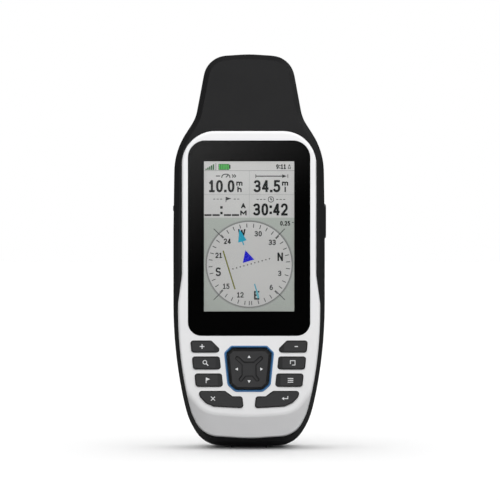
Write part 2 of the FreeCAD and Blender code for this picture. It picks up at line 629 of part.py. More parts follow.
def build_side_pieces():
    wall_out = size("side_x")
    top = wall_out + size("side_key_proud")
    length, width = size("side_key_length"), size("side_key_width")
    button = side_slab(30.6, top, length, width, 2.6)
    button = button.makeChamfer(0.7, [e for e in button.Edges if abs(e.CenterOfMass.x - top) < 1e-6])
    button = button.fuse(side_slab(30.1, 30.7, length + 1.4, width + 1.2, 3.0))
    button = button.fuse(Part.makeCylinder(1.3, 0.9, Vector(29.3, size("side_key_y"), size("side_key_z")),
                                           Vector(1, 0, 0)))
    shape_part("power_button", button.removeSplitter())

    length, width, depth = size("cap_length"), size("cap_width"), size("cap_depth")
    cap = side_slab(-wall_out, -wall_out + depth, length, width, 2.4)
    cap = cap.makeFillet(0.35, [e for e in cap.Edges if abs(e.CenterOfMass.x + wall_out) < 1e-6])
    plug = side_slab(-wall_out + depth, -wall_out + depth + 1.2, size("port_width") - 1.6,
                     size("port_height") - 1.6, 0.5, y=size("board_y") + size("port_height") / 2)
    tab = side_slab(-wall_out - 0.35, -wall_out + 0.6, 2.2, 3.6, 0.6, z=size("side_key_z") + length / 2 - 2.2)
    shape_part("usb_cap", cap.fuse([plug, tab]).removeSplitter())
    foot = size("side_key_z") - length / 2
    anchor = side_slab(-wall_out, -wall_out + depth, 3.4, 4.2, 0.8, z=foot - 1.95)
    shape_part("cap_anchor", anchor)


# ---------------------------------------------------------------- shells

def door_outline(margin=0.0):
    return rectangle(-size("door_x") - margin, size("door_low_z") - margin, size("door_x") + margin,
                     size("door_top_z") + margin, size("door_r") + margin)


def grip_prism(margin):
    return [(size("grip_front_y") - margin, size("grip_low_z") - margin, 3 + margin),
            (size("grip_front_y") - margin, size("grip_top_z") + margin, 3 + margin),
            (size("grip_back_y") + margin, size("grip_top_z") + margin, 3 + margin),
            (size("grip_back_y") + margin, size("grip_low_z") - margin, 3 + margin)]


def grip_tool(margin, side):
    face = Part.Face(rounded_loop(grip_prism(margin), side_view))
    face.translate(Vector(side * 20, 0, 0))
    return face.extrude(Vector(side * 20, 0, 0))


def bosses():
    return [(side * size(row + "_boss_x"), size(row + "_boss_z"), size(row + "_seat_y"))
            for side in (-1, 1) for row in ("top", "low")]


def build_foot_pad(outer):
    """The flat rubber pad under the sole that the navigator stands on."""
    half = size("pad_reach")
    pad = block(-half, size("pad_front_y"), 0, half, size("pad_rear_y"), 3)
    pad = pad.makeFillet(2, [e for e in pad.Edges if e.BoundBox.ZLength > 2])
    shape_part("foot_pad", pad.cut(outer))


def seal_band(inner, outer, y0, y1):
    """A ring that follows the silhouette between two insets."""
    face = Part.Face(rounded_loop(silhouette(), front_view))
    ring = Part.Face(smoothed(face.makeOffset2D(-outer).OuterWire)).extrude(Vector(0, y1 - y0, 0))
    hole = Part.Face(smoothed(face.makeOffset2D(-inner).OuterWire)).extrude(Vector(0, y1 - y0, 0))
    ring = ring.cut(hole)
    ring.translate(Vector(0, y0, 0))
    return ring


def build_front_housing(outer, shell):
    part_y = size("parting_y")
    inside = size("front_y") + size("wall")
    half = shell.common(block(-FAR, -FAR, -5, FAR, part_y, 200))
    posts = []
    for x, z, _ in bosses():
        posts.append(rod_y(x, z, size("boss_r"), inside - 1.2, part_y))
    for x, z in board_screw_places():
        posts.append(rod_y(float(x), float(z), 2.2, inside - 0.4, size("board_y") - size("board_depth")))
    for x in (-9.5, 9.5):
        posts.append(block(x - 1, inside - 1.0, 131.9, x + 1, 16.0, 133.5).common(
            block(-FAR, -FAR, 0, FAR, part_y + 12, 200)))
    z0, y0 = size("side_key_z"), size("side_key_y")
    posts.append(side_slab(-31.6, -29.3, 23.5, 8.6, 1.0, z=z0 - 1.2, y=y0 + 0.2))
    half = half.fuse([p.common(outer) for p in posts])
    cuts = [seal_band(1.4, 0.7, part_y - 0.5, part_y + 0.5)]
    gm, low = size("glass_margin") + 0.15, size("screen_low_z")
    width = size("screen_width") / 2 + gm
    cuts.append(block(-width, -20, low - gm, width, inside + 0.4, low + size("screen_height") + gm))
    for outline in KEYS.values():
        corners = key_corners(outline, size("key_corner"))
        cuts.append(grown(corners, 0.45, -20, inside + 0.5))
        cuts.append(grown(corners, size("key_flange") + 0.3, size("key_back_y") - 0.05, -5))
    cuts.append(grown(ring_corners(), -size("pad_inset") + 0.55, -20, inside + 0.5))
    for x, z, _ in bosses():
        cuts.append(rod_y(x, z, size("screw_r") + 0.02, size("screw_tip_y") - 0.5, part_y + 0.1))
    for x, z in board_screw_places():
        cuts.append(rod_y(float(x), float(z), 0.82, -10.3, 0))
    cuts.append(side_slab(28, 40, size("side_key_length") + 0.5, size("side_key_width") + 0.5, 2.85))
    cuts.append(side_slab(-40, -size("side_x") + size("cap_depth") + 0.05, size("cap_length") + 0.4,
                          size("cap_width") + 0.4, 2.6))
    cuts.append(side_slab(-40, -28, size("port_width") + 0.1, size("port_height") + 0.1, 0.4,
                          y=size("board_y") + size("port_height") / 2))
    foot = z0 - size("cap_length") / 2
    cuts.append(side_slab(-40, -size("side_x") + size("cap_depth") + 0.02, 3.5, 4.3, 0.85, z=foot - 1.9))
    shape_part("front_housing", half.cut(cuts))


def build_rear_housing(outer, inner, deeper, shell, grip_cut, seal):
    part_y = size("parting_y")
    wall = size("bay_wall")
    half = shell.common(block(-FAR, part_y, -5, FAR, FAR, 200))
    half = half.cut(grown(door_outline(), size("door_gap"), 2, 40))
    bx, bz0, bz1, by = size("bay_x"), size("bay_low_z"), size("bay_top_z"), size("bay_floor_y")
    tube = block(-bx - wall, by - wall, bz0 - wall, bx + wall, 30, bz1 + wall)
    tube = tube.cut(block(-bx, by, bz0, bx, 31, bz1))
    rim = grown(door_outline(), 1.6, 2, 40).cut(block(-bx, 0, bz0, bx, 41, bz1))
    lz, cup = size("latch_z"), size("dish_r") + size("dish_wall") + size("well_gap")
    floor, insert = size("well_floor_y"), size("insert_r")
    rim = rim.cut(rod_y(0, lz, cup, 0, 41)).common(inner).cut([deeper, seal])
    well = rod_y(0, lz, cup + size("well_wall"), floor - size("well_wall"), 30)
    well = well.cut(rod_y(0, lz, cup, floor, 31)).common(inner).cut(seal)
    well = well.fuse(rod_y(0, lz, insert + 1.2, size("insert_y") - 1.4, floor - 0.4))
    posts = []
    for x, z, seat in bosses():
        posts.append(rod_y(x, z, size("boss_r"), part_y, seat + 3))
    for z in spine_screw_places():
        posts.append(rod_y(0, z, 2.6, size("back_y") - 6, size("back_y") - 1))
    lx, ll, lt, lf = size("lanyard_x"), size("lanyard_low_z"), size("lanyard_top_z"), size("lanyard_floor_y")
    posts.append(block(-lx - 1.4, lf - 1.3, ll - 1.3, lx + 1.4, 12, lt + 1.2))
    added = [piece.common(outer) for piece in posts] + [tube.common(inner).cut(seal), rim, well]
    half = half.fuse(added)
    cuts = [grip_cut, seal_band(1.4, 0.7, part_y - 0.5, part_y + 0.5),
            rod_y(0, lz, insert, size("insert_y"), floor + 1), block(-lx, lf, ll, lx, 20, lt),
            Part.makeCylinder(size("bar_r") + 0.01, lt - ll + 2.0, Vector(0, size("bar_y"), ll - 1.0))]
    for x, z, seat in bosses():
        cuts.append(rod_y(x, z, size("screw_r") + 0.15, part_y - 1, 40))
        cuts.append(rod_y(x, z, size("screw_head_r") + 0.3, seat, 40))
    for z in spine_screw_places():
        cuts.append(rod_y(0, z, 0.92, size("back_y") - 4.6, 30))
    shape_part("rear_housing", half.cut(cuts))


def spine_screw_places():
    low = size("spine_low_z")
    return [low + 4.5, low + size("spine_length") - 4.5]


def chin_outline():
    """Everything below the ridge, which is one smooth curve."""
    low = -20
    end = (size("smile_end_x"), size("smile_end_z"), 0)
    bowl = rounded_loop(both_sides([
        end, (size("smile_bend_x"), size("smile_bend_z"), size("smile_bend_r")),
        (0, size("smile_z"), size("smile_r"))]), front_view)
    ridge = [e for e in bowl.Edges if min(v.Z for v in e.Vertexes) < end[1] - 1e-6]
    curve = Part.BSplineCurve()
    curve.interpolate(Part.Wire(ridge).discretize(Number=60))
    start, stop = curve.StartPoint, curve.EndPoint
    rest = Part.makePolygon([stop, Vector(stop.x, 0, low), Vector(start.x, 0, low), start])
    return Part.Wire([curve.toShape()] + rest.Edges)


def build_bezel(outer):
    y0 = size("bezel_y")
    plate = prism(bezel_outline(), y0, y0 + 9)
    below = Part.Face(chin_outline())
    below.translate(Vector(0, y0, 0))
    depth = 12.0
    plate = plate.cut(below.extrude(Vector(0, depth, -depth / size("smile_slope"))))
    ridge = [e for e in front_edges(plate, y0)
             if e.BoundBox.XLength > 30 and abs(e.BoundBox.ZMin - size("smile_z")) < 1]
    plate = plate.makeFillet(size("smile_round"), ridge)
    rim = []
    for e in plate.Edges:
        middle = e.valueAt((e.FirstParameter + e.LastParameter) / 2)
        faces = [f for f in plate.Faces if any(e.isSame(o) for o in f.Edges)]
        normals = [f.normalAt(*f.Surface.parameter(middle)) for f in faces]
        if len(normals) == 2 and any(abs(n.y) < 1e-4 for n in normals) and any(n.y < -0.5 for n in normals):
            rim.append(e)
    plate = plate.makeFillet(size("bezel_edge_r"), rim)
    cuts = [outer, grown(window_outline(), size("window_gap"), -20, 0)]
    for outline in KEYS.values():
        cuts.append(grown(key_corners(outline, size("key_corner")), size("key_gap"), -20, 0))
    cuts.append(grown(ring_corners(), 0.03, -20, 0))
    shape_part("front_bezel", plate.cut(cuts))


def build_shells():
    outer = body_solid(0)
    inner = body_solid(size("wall"))
    deeper = body_solid(size("wall") + 1.6)
    grip_floor = body_solid(size("grip_depth"))
    shell = outer.cut(inner)
    grip_cut = grip_tool(0.08, -1).fuse(grip_tool(0.08, 1)).cut(grip_floor)
    seal = door_seal()
    shape_part("door_seal", seal)
    build_front_housing(outer, shell)
    build_rear_housing(outer, inner, deeper, shell, grip_cut, seal)
    build_foot_pad(outer)
    build_bezel(outer)
    build_grips(outer, grip_floor)
    build_door(outer)
    build_spine(outer)
    seal_y = size("parting_y")
    shape_part("housing_seal", seal_band(1.38, 0.72, seal_y - 0.48, seal_y + 0.48))


def build_grips(outer, grip_floor):
    skin = outer.cut(grip_floor)
    low, top, ribs = size("grip_low_z"), size("grip_top_z"), int(size("grip_ribs"))
    pitch = (top - low) / ribs
    for side, label in ((-1, "left_grip"), (1, "right_grip")):
        pad = skin.common(grip_tool(0, side))
        grooves = []
        for i in range(1, ribs):
            z = low + i * pitch
            reach = size("side_x") + 0.2 - max(0.0, size("waist_z") + 18 - z) ** 2 / (2 * size("waist_r"))
            grooves.append(Part.makeCylinder(0.75, size("grip_back_y") - size("grip_front_y") - 5,
                                             Vector(side * reach, size("grip_front_y") + 2.5, z),
                                             Vector(0, 1, 0)))
        shape_part(label, pad.cut(grooves))


def build_door(outer):
    panel = outer.cut(body_solid(size("door_wall"))).common(prism(door_outline(), 2, 40))
    lz, dish, wall, floor = size("latch_z"), size("dish_r"), size("dish_wall"), size("dish_floor_y")
    cup = rod_y(0, lz, dish + wall, floor - 1.6, 30).common(outer)
    lip_x, lip_low, lip_top = size("bay_x") - 0.35, size("bay_low_z") + 0.35, size("bay_top_z") - 0.35
    lip = block(-lip_x, 11.0, lip_low, lip_x, 14, lip_top)
    lip = lip.cut(block(-lip_x + 1.2, 10, lip_low + 1.2, lip_x - 1.2, 14.1, lip_top - 1.2))
    lip = lip.common(outer).cut(cell_room())
    door = panel.fuse([cup, lip])
    door = door.cut([rod_y(0, lz, dish, floor, 40), rod_y(0, lz, size("stud_r") + 0.06, 0, 40)])
    ribs = [Part.makeCylinder(0.7, 22, Vector(-11, size("back_y") + 0.35, 44 + 3.2 * i), Vector(1, 0, 0))
            for i in range(5)]
    shape_part("battery_door", door.cut(ribs))


def door_seal():
    """A soft ring that lies in a groove of the rim, just below the door."""
    seal = grown(door_outline(), -0.5, 2, 40).cut(grown(door_outline(), -1.5, 1, 41))
    return seal.common(body_solid(size("door_wall") + 0.1)).cut(body_solid(size("wall") + 0.7))


def cell_room():
    """The space of both cells, with a little room round them."""
    low, top = size("bay_low_z"), size("bay_top_z")
    rooms = [Part.makeCylinder(size("cell_r") + 0.2, top - low, Vector(side * size("cell_x"), size("cell_y"), low))
             for side in (-1, 1)]
    return rooms[0].fuse(rooms[1])


def build_spine(outer):
    low, length, y1 = size("spine_low_z"), size("spine_length"), size("spine_y")
    stem, flange, thick = size("spine_stem"), size("spine_flange"), size("spine_flange_depth")
    rail = prism(rectangle(-stem, low, stem, low + length, 0), 14, y1 - 0.5)
    plate = prism(rectangle(-flange, low, flange, low + length, 1.2), y1 - thick, y1)
    plate = plate.makeChamfer(0.4, [e for e in plate.Edges if abs(e.CenterOfMass.y - y1) < 1e-6])
    rail = rail.fuse(plate).cut(outer)
    screws = []
    for z in spine_screw_places():
        cone = Part.makeCone(2.0, 0.9, 1.2, Vector(0, y1, z), Vector(0, -1, 0))
        shaft = rod_y(0, z, 0.9, size("back_y") - 4.4, y1 - 1.0)
        screw = cone.fuse(shaft)
        drive = prism(rectangle(-1.0, -0.22, 1.0, 0.22, 0), y1 - 0.6, y1 + 1)
        across = drive.copy()
        across.rotate(Vector(), Vector(0, 1, 0), 90)
        drive = drive.fuse(across)
        drive.translate(Vector(0, 0, z))
        screws.append(screw.cut(drive))
        rail = rail.cut([Part.makeCone(2.05, 0.95, 1.2, Vector(0, y1, z), Vector(0, -1, 0)),
                         rod_y(0, z, 0.95, 10, y1)])
    shape_part("mount_spine", rail)
    shape_part("spine_screws", Part.makeCompound(screws))


# ---------------------------------------------------------------- latch, cells, antenna, fasteners

def build_latch():
    lz, y_axis = size("latch_z"), size("latch_axis_y")
    floor = size("dish_floor_y")
    head = rod_y(0, lz, size("stud_head_r"), floor + 0.15, y_axis + 1.5)
    head = head.makeFillet(0.4, [e for e in head.Edges if abs(e.CenterOfMass.y - y_axis - 1.5) < 1e-6])
    shaft = rod_y(0, lz, size("stud_r"), size("stud_tip_y"), floor + 0.2)
    stud = head.fuse(shaft)
    bore = Part.makeCylinder(size("ring_wire_r") + 0.05, 12, Vector(-6, y_axis, lz), Vector(1, 0, 0))
    shape_part("latch_stud", stud.cut(bore).removeSplitter())
    bend, wire = size("ring_bend_r"), size("ring_wire_r")
    arc = Part.Arc(Vector(-bend, y_axis, lz), Vector(0, y_axis, lz - bend), Vector(bend, y_axis, lz)).toShape()
    bow = Part.Wire([arc])
    section = Part.Wire([Part.Circle(Vector(-bend, y_axis, lz), Vector(0, 0, 1), wire).toShape()])
    bow = bow.makePipeShell([section], True, False)
    bar = Part.makeCylinder(wire, 2 * bend, Vector(-bend, y_axis, lz), Vector(1, 0, 0))
    balls = [Part.makeSphere(wire, Vector(side * bend, y_axis, lz)) for side in (-1, 1)]
    shape_part("d_ring", bow.fuse([bar] + balls).removeSplitter())
    insert = rod_y(0, lz, size("insert_r"), size("insert_y"), size("well_floor_y"))
    shape_part("latch_insert", insert.cut(rod_y(0, lz, size("stud_r") + 0.05, size("insert_y"), floor)))


def build_cells():
    """Two cells that point opposite ways, each between a spring at its flat end and a contact at its nub."""
    low, top, room, y = size("bay_low_z"), size("bay_top_z"), size("spring_room"), size("cell_y")
    foot = {-1: "bay_low_z + spring_room", 1: "bay_top_z - spring_room - cell_length"}
    springs, plates, tabs = [], [], []
    for side, label in ((-1, "battery_left"), (1, "battery_right")):
        x = "%d * cell_x" % side
        can_z = foot[side] if side < 0 else foot[side] + " + 1.0"
        nub_z = foot[side] + " + cell_length - 1.5" if side < 0 else foot[side]
        can = cylinder(label + "_can", (x, "cell_y", can_z), "z", "cell_r", "cell_length - 1.0")
        nub = cylinder(label + "_nub", (x, "cell_y", nub_z), "z", "2.7", "1.5")
        fused(label + "_whole", [can, nub], label)
        rise = room - 1.15
        turn = Part.makeHelix(rise / 3.2, rise, 2.6)
        start = turn.Edges[0].valueAt(turn.Edges[0].FirstParameter)
        section = Part.Wire([Part.Circle(start, Vector(0, 1, 0.3), 0.3).toShape()])
        coil = Part.Wire(turn.Edges).makePipeShell([section], True, True)
        coil.translate(Vector(number(x), y, low + 0.78 if side < 0 else top - room + 0.37))
        springs.append(coil)
        plate_z = low if side < 0 else top - 0.4
        plates.append(block(number(x) - 5, y - 5, plate_z, number(x) + 5, y + 5, plate_z + 0.4))
        tab_low = number(foot[side] + " + cell_length") if side < 0 else low
        tab_top = top if side < 0 else number(foot[side])
        tabs.append(block(number(x) - 3.5, y - 3.5, tab_low, number(x) + 3.5, y + 3.5, tab_top))
    shape_part("negative_springs", Part.makeCompound(springs))
    shape_part("spring_plates", Part.makeCompound(plates))
    shape_part("positive_contacts", Part.makeCompound(tabs))


def build_antenna():
    y, low, r, height = size("helix_y"), size("helix_low_z"), size("helix_r"), size("helix_height")
    former = Part.makeCylinder(r, height, Vector(0, y, low)).cut(
        Part.makeCylinder(r - 1.2, height - 1.2, Vector(0, y, low)))
    shape_part("antenna_former", former)
    strips = []
    for turn in range(4):
        pieces = []
        steps = 10
        band = Part.makeCylinder(r + size("strip_depth"), height - 1, Vector(0, y, low + 0.5)).cut(
            Part.makeCylinder(r + 0.01, height + 2, Vector(0, y, low - 1)))
        angle = math.radians(90 * turn)
        for step in range(steps):
            a = angle + math.radians(16) * step
            z = low + 1.5 + (height - 6.0) * step / steps
            bar = block(0, -size("strip_width") / 2, z, r + 2, size("strip_width") / 2, z + (height - 6) / steps + 0.2)
            bar.rotate(Vector(), Vector(0, 0, 1), math.degrees(a))
            bar.translate(Vector(0, y, 0))
            pieces.append(bar)
        strips.append(pieces[0].fuse(pieces[1:]).common(band))
    shape_part("antenna_strips", Part.makeCompound(strips))
    cylinder("foot_disc", ("0", "helix_y", "helix_low_z - foot_disc_depth"), "z", "foot_disc_r", "foot_disc_depth",
             "antenna_foot")
    bracket = box("bracket_plate", ("-12", "-2.6", "helix_low_z - foot_disc_depth - 1.8"), ("24", "21", "1.8"))
    hole = cylinder("bracket_hole", ("0", "helix_y", "helix_low_z - foot_disc_depth - 3"), "z", "2", "5")
    cut("bracket_cut", bracket, hole, "antenna_bracket")
    route = [Vector(0, y, 135.8), Vector(0, y, 131.6), Vector(0, 2.0, 126.4), Vector(0, -2.6, 123.2),
             Vector(0, -3.2, 117)]
    edges = []
    radius = 1.9
    spots = [route[0]]
    for before, here, after in zip(route, route[1:], route[2:]):
        u, v = (before - here).normalize(), (after - here).normalize()
        half = u.getAngle(v) / 2
        reach = radius / math.tan(half)
        start, end = here + u * reach, here + v * reach
        middle = here + (u + v).normalize() * (radius / math.sin(half) - radius)
        edges.append(Part.LineSegment(spots[-1], start).toShape())
        edges.append(Part.Arc(start, middle, end).toShape())
        spots.append(end)
    edges.append(Part.LineSegment(spots[-1], route[-1]).toShape())
    section = Part.Wire([Part.Circle(route[0], Vector(0, 0, 1), 0.7).toShape()])
    shape_part("antenna_lead", Part.Wire(edges).makePipeShell([section], True, False))


def cross_drive(x, z, y0, y1):
    drive = prism(rectangle(-1.1, -0.25, 1.1, 0.25, 0), y0, y1)
    across = drive.copy()
    across.rotate(Vector(), Vector(0, 1, 0), 90)
    drive = drive.fuse(across)
    drive.translate(Vector(x, 0, z))
    return drive


def build_fasteners():
    screws = []
    for x, z, seat in bosses():
        head = rod_y(x, z, size("screw_head_r"), seat, seat + size("screw_head"))
        head = head.makeFillet(0.4, [e for e in head.Edges
                                     if abs(e.CenterOfMass.y - seat - size("screw_head")) < 1e-6])
        shaft = rod_y(x, z, size("screw_r"), size("screw_tip_y"), seat + 0.1)
        screws.append(head.fuse(shaft).removeSplitter().cut(
            cross_drive(x, z, seat + size("screw_head") - 0.8, seat + 3)))
    shape_part("housing_screws", Part.makeCompound(screws))
    small = []
    for x, z in board_screw_places():
        head = rod_y(float(x), float(z), 1.7, size("board_y"), size("board_y") + 1.0)
        small.append(head.fuse(rod_y(float(x), float(z), 0.8, -10.2, size("board_y"))).cut(
            cross_drive(float(x), float(z), size("board_y") + 0.5, size("board_y") + 2)))
    shape_part("board_screws", Part.makeCompound(small))
    cylinder("lanyard_rod", ("0", "bar_y", "lanyard_low_z - 0.95"), "z", "bar_r",
             "lanyard_top_z - lanyard_low_z + 1.9", "lanyard_bar")


# ---------------------------------------------------------------- build, check, write

build_keys()
build_rocker()
build_display()
build_boards()
build_side_pieces()
build_shells()
build_latch()
build_cells()
build_antenna()
build_fasteners()
doc.recompute()

for thing in doc.Objects:
    if "Invalid" in thing.State or "Error" in thing.State:
        raise RuntimeError("%s failed: %s" % (thing.Name, thing.State))
for thing in PARTS:
    if thing.Shape.isNull() or not thing.Shape.isValid() or not thing.Shape.Solids:
        raise RuntimeError("%s has no valid shape" % thing.Label)

os.makedirs("parts", exist_ok=True)
for thing in PARTS:
    thing.Shape.exportStep("parts/%s.step" % thing.Label)
print(len(PARTS), "parts")
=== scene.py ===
"""Looks for the handheld GPS navigator: materials, screen picture, key marks, light and camera."""

import json
import math

import bmesh
import bpy
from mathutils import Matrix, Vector


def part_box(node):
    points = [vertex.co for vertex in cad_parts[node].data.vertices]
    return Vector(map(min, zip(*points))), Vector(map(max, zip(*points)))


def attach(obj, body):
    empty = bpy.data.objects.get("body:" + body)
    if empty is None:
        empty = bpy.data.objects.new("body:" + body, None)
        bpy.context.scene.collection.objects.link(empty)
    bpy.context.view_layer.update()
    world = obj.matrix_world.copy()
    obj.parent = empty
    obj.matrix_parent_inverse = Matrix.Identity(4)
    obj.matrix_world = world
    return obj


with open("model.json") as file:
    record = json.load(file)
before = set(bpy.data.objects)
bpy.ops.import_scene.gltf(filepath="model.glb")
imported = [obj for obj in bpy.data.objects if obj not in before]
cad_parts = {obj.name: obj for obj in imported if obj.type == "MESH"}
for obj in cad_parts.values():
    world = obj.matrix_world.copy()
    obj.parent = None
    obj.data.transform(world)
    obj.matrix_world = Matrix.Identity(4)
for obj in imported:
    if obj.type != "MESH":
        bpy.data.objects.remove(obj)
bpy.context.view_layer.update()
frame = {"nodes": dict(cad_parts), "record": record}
MM = 0.001
STAGGER = 0.0015            # mm between outlines of one piece that may overlap
OVERSHOOT = 0.42            # how far a stroke runs past its ends, in pen widths
SHOULDER = 0.85             # power that makes the ovals of the figures fuller
CLOUD_SCALE = 60.0          # cloudy patches per metre
CELLS_PER_METRE = 5800.0    # the display's cells
FALL_HEIGHTS = 0.125, 0.06  # metres, from full light to the dimmest
# Painted shade: the colour that the foot of the display is multiplied by
FOOT_PAINTED_SHADE = 0.68, 0.68, 0.67
COPPER_BAND = 0.016         # metres of copper at one end of a cell
BAND_BLUR = 0.0001          # metres each side of the band's edge


# ---------------------------------------------------------------- node helpers

def new_material(name):
    material = bpy.data.materials.new(name)
    material.use_nodes = True
    nodes = material.node_tree.nodes
    nodes.clear()
    shader = nodes.new("ShaderNodeBsdfPrincipled")
    output = nodes.new("ShaderNodeOutputMaterial")
    material.node_tree.links.new(shader.outputs["BSDF"], output.inputs["Surface"])
    return material, nodes, material.node_tree.links, shader


def noise(nodes, links, coords, scale, detail=4.0, rough=0.55, stretch=None):
    """Noise in metres of object space: scale is features per metre."""
    source = coords.outputs["Object"]
    if stretch:
        mapping = nodes.new("ShaderNodeMapping")
        mapping.inputs["Scale"].default_value = stretch
        links.new(source, mapping.inputs["Vector"])
        source = mapping.outputs["Vector"]
    texture = nodes.new("ShaderNodeTexNoise")
    texture.inputs["Scale"].default_value = scale
    texture.inputs["Detail"].default_value = detail
    texture.inputs["Roughness"].default_value = rough
    links.new(source, texture.inputs["Vector"])
    return texture.outputs["Fac"]


def spread(nodes, links, value, low, high, out_low, out_high, curve="LINEAR"):
    """Maps low..high to out_low..out_high and stops at both ends."""
    ranged = nodes.new("ShaderNodeMapRange")
    ranged.interpolation_type = curve
    ranged.inputs["From Min"].default_value = low
    ranged.inputs["From Max"].default_value = high
    ranged.inputs["To Min"].default_value = out_low
    ranged.inputs["To Max"].default_value = out_high
    links.new(value, ranged.inputs["Value"])
    return ranged.outputs["Result"]


def tinted(nodes, links, value, first, second):
    """Goes from the first colour to the second as the value goes from 0 to 1."""
    mix = nodes.new("ShaderNodeMix")
    mix.data_type = "RGBA"
    mix.inputs["A"].default_value = (*first, 1)
    mix.inputs["B"].default_value = (*second, 1)
    links.new(value, mix.inputs["Factor"])
    return mix.outputs["Result"]


def arithmetic(nodes, links, operation, *values):
    """A math node; each value is a number or another node's output."""
    node = nodes.new("ShaderNodeMath")
    node.operation = operation
    for socket, value in zip(node.inputs, values):
        if isinstance(value, float):
            socket.default_value = value
        else:
            links.new(value, socket)
    return node.outputs["Value"]


def bumped(nodes, links, shader, value, depth_mm):
    bump = nodes.new("ShaderNodeBump")
    bump.inputs["Distance"].default_value = depth_mm * MM
    links.new(value, bump.inputs["Height"])
    links.new(bump.outputs["Normal"], shader.inputs["Normal"])


def moulded(name, colour, rough, grain=4200.0, grain_depth=0.012, variation=0.08, specular=0.5,
            coat=0.0, rim=None):
    """Moulded plastic or rubber: fine grain, faint cloudiness in colour and gloss.

    With rim, what turns away from the object's front takes that colour: painted shade that darkens
    the sides."""
    material, nodes, links, shader = new_material(name)
    coords = nodes.new("ShaderNodeTexCoord")
    cloud = noise(nodes, links, coords, CLOUD_SCALE, 3.0)
    fine = noise(nodes, links, coords, grain, 3.0, 0.6)
    darker = tuple(c * (1 - variation) for c in colour)
    lighter = tuple(min(1.0, c * (1 + variation)) for c in colour)
    base = tinted(nodes, links, spread(nodes, links, cloud, 0.35, 0.65, 0, 1), darker, lighter)
    # Painted shade: surfaces turned away from the front take the darker rim colour.
    if rim:
        facing = nodes.new("ShaderNodeSeparateXYZ")
        links.new(coords.outputs["Normal"], facing.inputs["Vector"])
        face = spread(nodes, links, facing.outputs["Y"], -0.8, -0.985, 0, 1)
        edge = nodes.new("ShaderNodeMix")
        edge.data_type = "RGBA"
        edge.inputs["A"].default_value = (*rim, 1)
        links.new(base, edge.inputs["B"])
        links.new(face, edge.inputs["Factor"])
        base = edge.outputs["Result"]
    links.new(base, shader.inputs["Base Color"])
    gloss = spread(nodes, links, cloud, 0.3, 0.7, rough - 0.05, rough + 0.05)
    links.new(gloss, shader.inputs["Roughness"])
    shader.inputs["Specular IOR Level"].default_value = specular
    shader.inputs["Coat Weight"].default_value = coat
    bumped(nodes, links, shader, fine, grain_depth)
    return material


def metal(name, colour, rough, brushed, grain):
    """Bare metal with fine lines; brushed stretches them along an axis."""
    material, nodes, links, shader = new_material(name)
    coords = nodes.new("ShaderNodeTexCoord")
    lines = noise(nodes, links, coords, grain, 4.0, 0.6, brushed)
    darker = tuple(c * 0.9 for c in colour)
    links.new(tinted(nodes, links, lines, darker, colour), shader.inputs["Base Color"])
    gloss = spread(nodes, links, lines, 0.3, 0.7, rough - 0.07, rough + 0.07)
    links.new(gloss, shader.inputs["Roughness"])
    shader.inputs["Metallic"].default_value = 1.0
    bumped(nodes, links, shader, lines, 0.004)
    return material


def lit(name, colour, glow):
    """A lit part of the display, with the fine grid of its cells; its foot is darker with painted
    shade, and its glow is partly painted light.
    """
    material, nodes, links, shader = new_material(name)
    coords = nodes.new("ShaderNodeTexCoord")
    cells = nodes.new("ShaderNodeTexVoronoi")
    cells.inputs["Scale"].default_value = CELLS_PER_METRE
    cells.inputs["Randomness"].default_value = 0.0
    links.new(coords.outputs["Object"], cells.inputs["Vector"])
    grid = spread(nodes, links, cells.outputs["Distance"], 0.0, 0.8, 0.0, 1.0)
    shade = tinted(nodes, links, grid, colour, tuple(c * 0.93 for c in colour))
    parts = nodes.new("ShaderNodeSeparateXYZ")
    links.new(coords.outputs["Object"], parts.inputs["Vector"])
    # Painted shade: the colour darkens towards the foot of the display, as if less light reached
    # it.
    painted_falloff = nodes.new("ShaderNodeMix")
    painted_falloff.data_type = "RGBA"
    painted_falloff.blend_type = "MULTIPLY"
    painted_falloff.inputs["B"].default_value = (*FOOT_PAINTED_SHADE, 1)
    depth = spread(nodes, links, parts.outputs["Z"], *FALL_HEIGHTS, 0.0, 1.0)
    links.new(depth, painted_falloff.inputs["Factor"])
    links.new(shade, painted_falloff.inputs["A"])
    links.new(painted_falloff.outputs["Result"], shader.inputs["Emission Color"])
    # The glow is the display's backlight and partly painted light, standing in for the daylight the
    # screen reflects.
    shader.inputs["Emission Strength"].default_value = glow
    shader.inputs["Base Color"].default_value = (*[c * 0.3 for c in colour], 1)
    shader.inputs["Roughness"].default_value = 0.4
    shader.inputs["Specular IOR Level"].default_value = 0.1
    return material


def srgb(*values):
    """Linear colour from the usual 0..255 values."""
    return tuple(v / 255 / 12.92 if v <= 10 else ((v / 255 + 0.055) / 1.055) ** 2.4
                 for v in values)


# ---------------------------------------------------------------- materials of the CAD nodes

def window_material():
    """Clear plastic with faint smudges in its gloss."""
    material, nodes, links, shader = new_material("clear_window")
    coords = nodes.new("ShaderNodeTexCoord")
    smudge = noise(nodes, links, coords, 45.0, 3.0)
    links.new(spread(nodes, links, smudge, 0.35, 0.7, 0.02, 0.05), shader.inputs["Roughness"])
    shader.inputs["Base Color"].default_value = (1, 1, 1, 1)
    shader.inputs["Transmission Weight"].default_value = 1.0
    shader.inputs["IOR"].default_value = 1.45
    return material


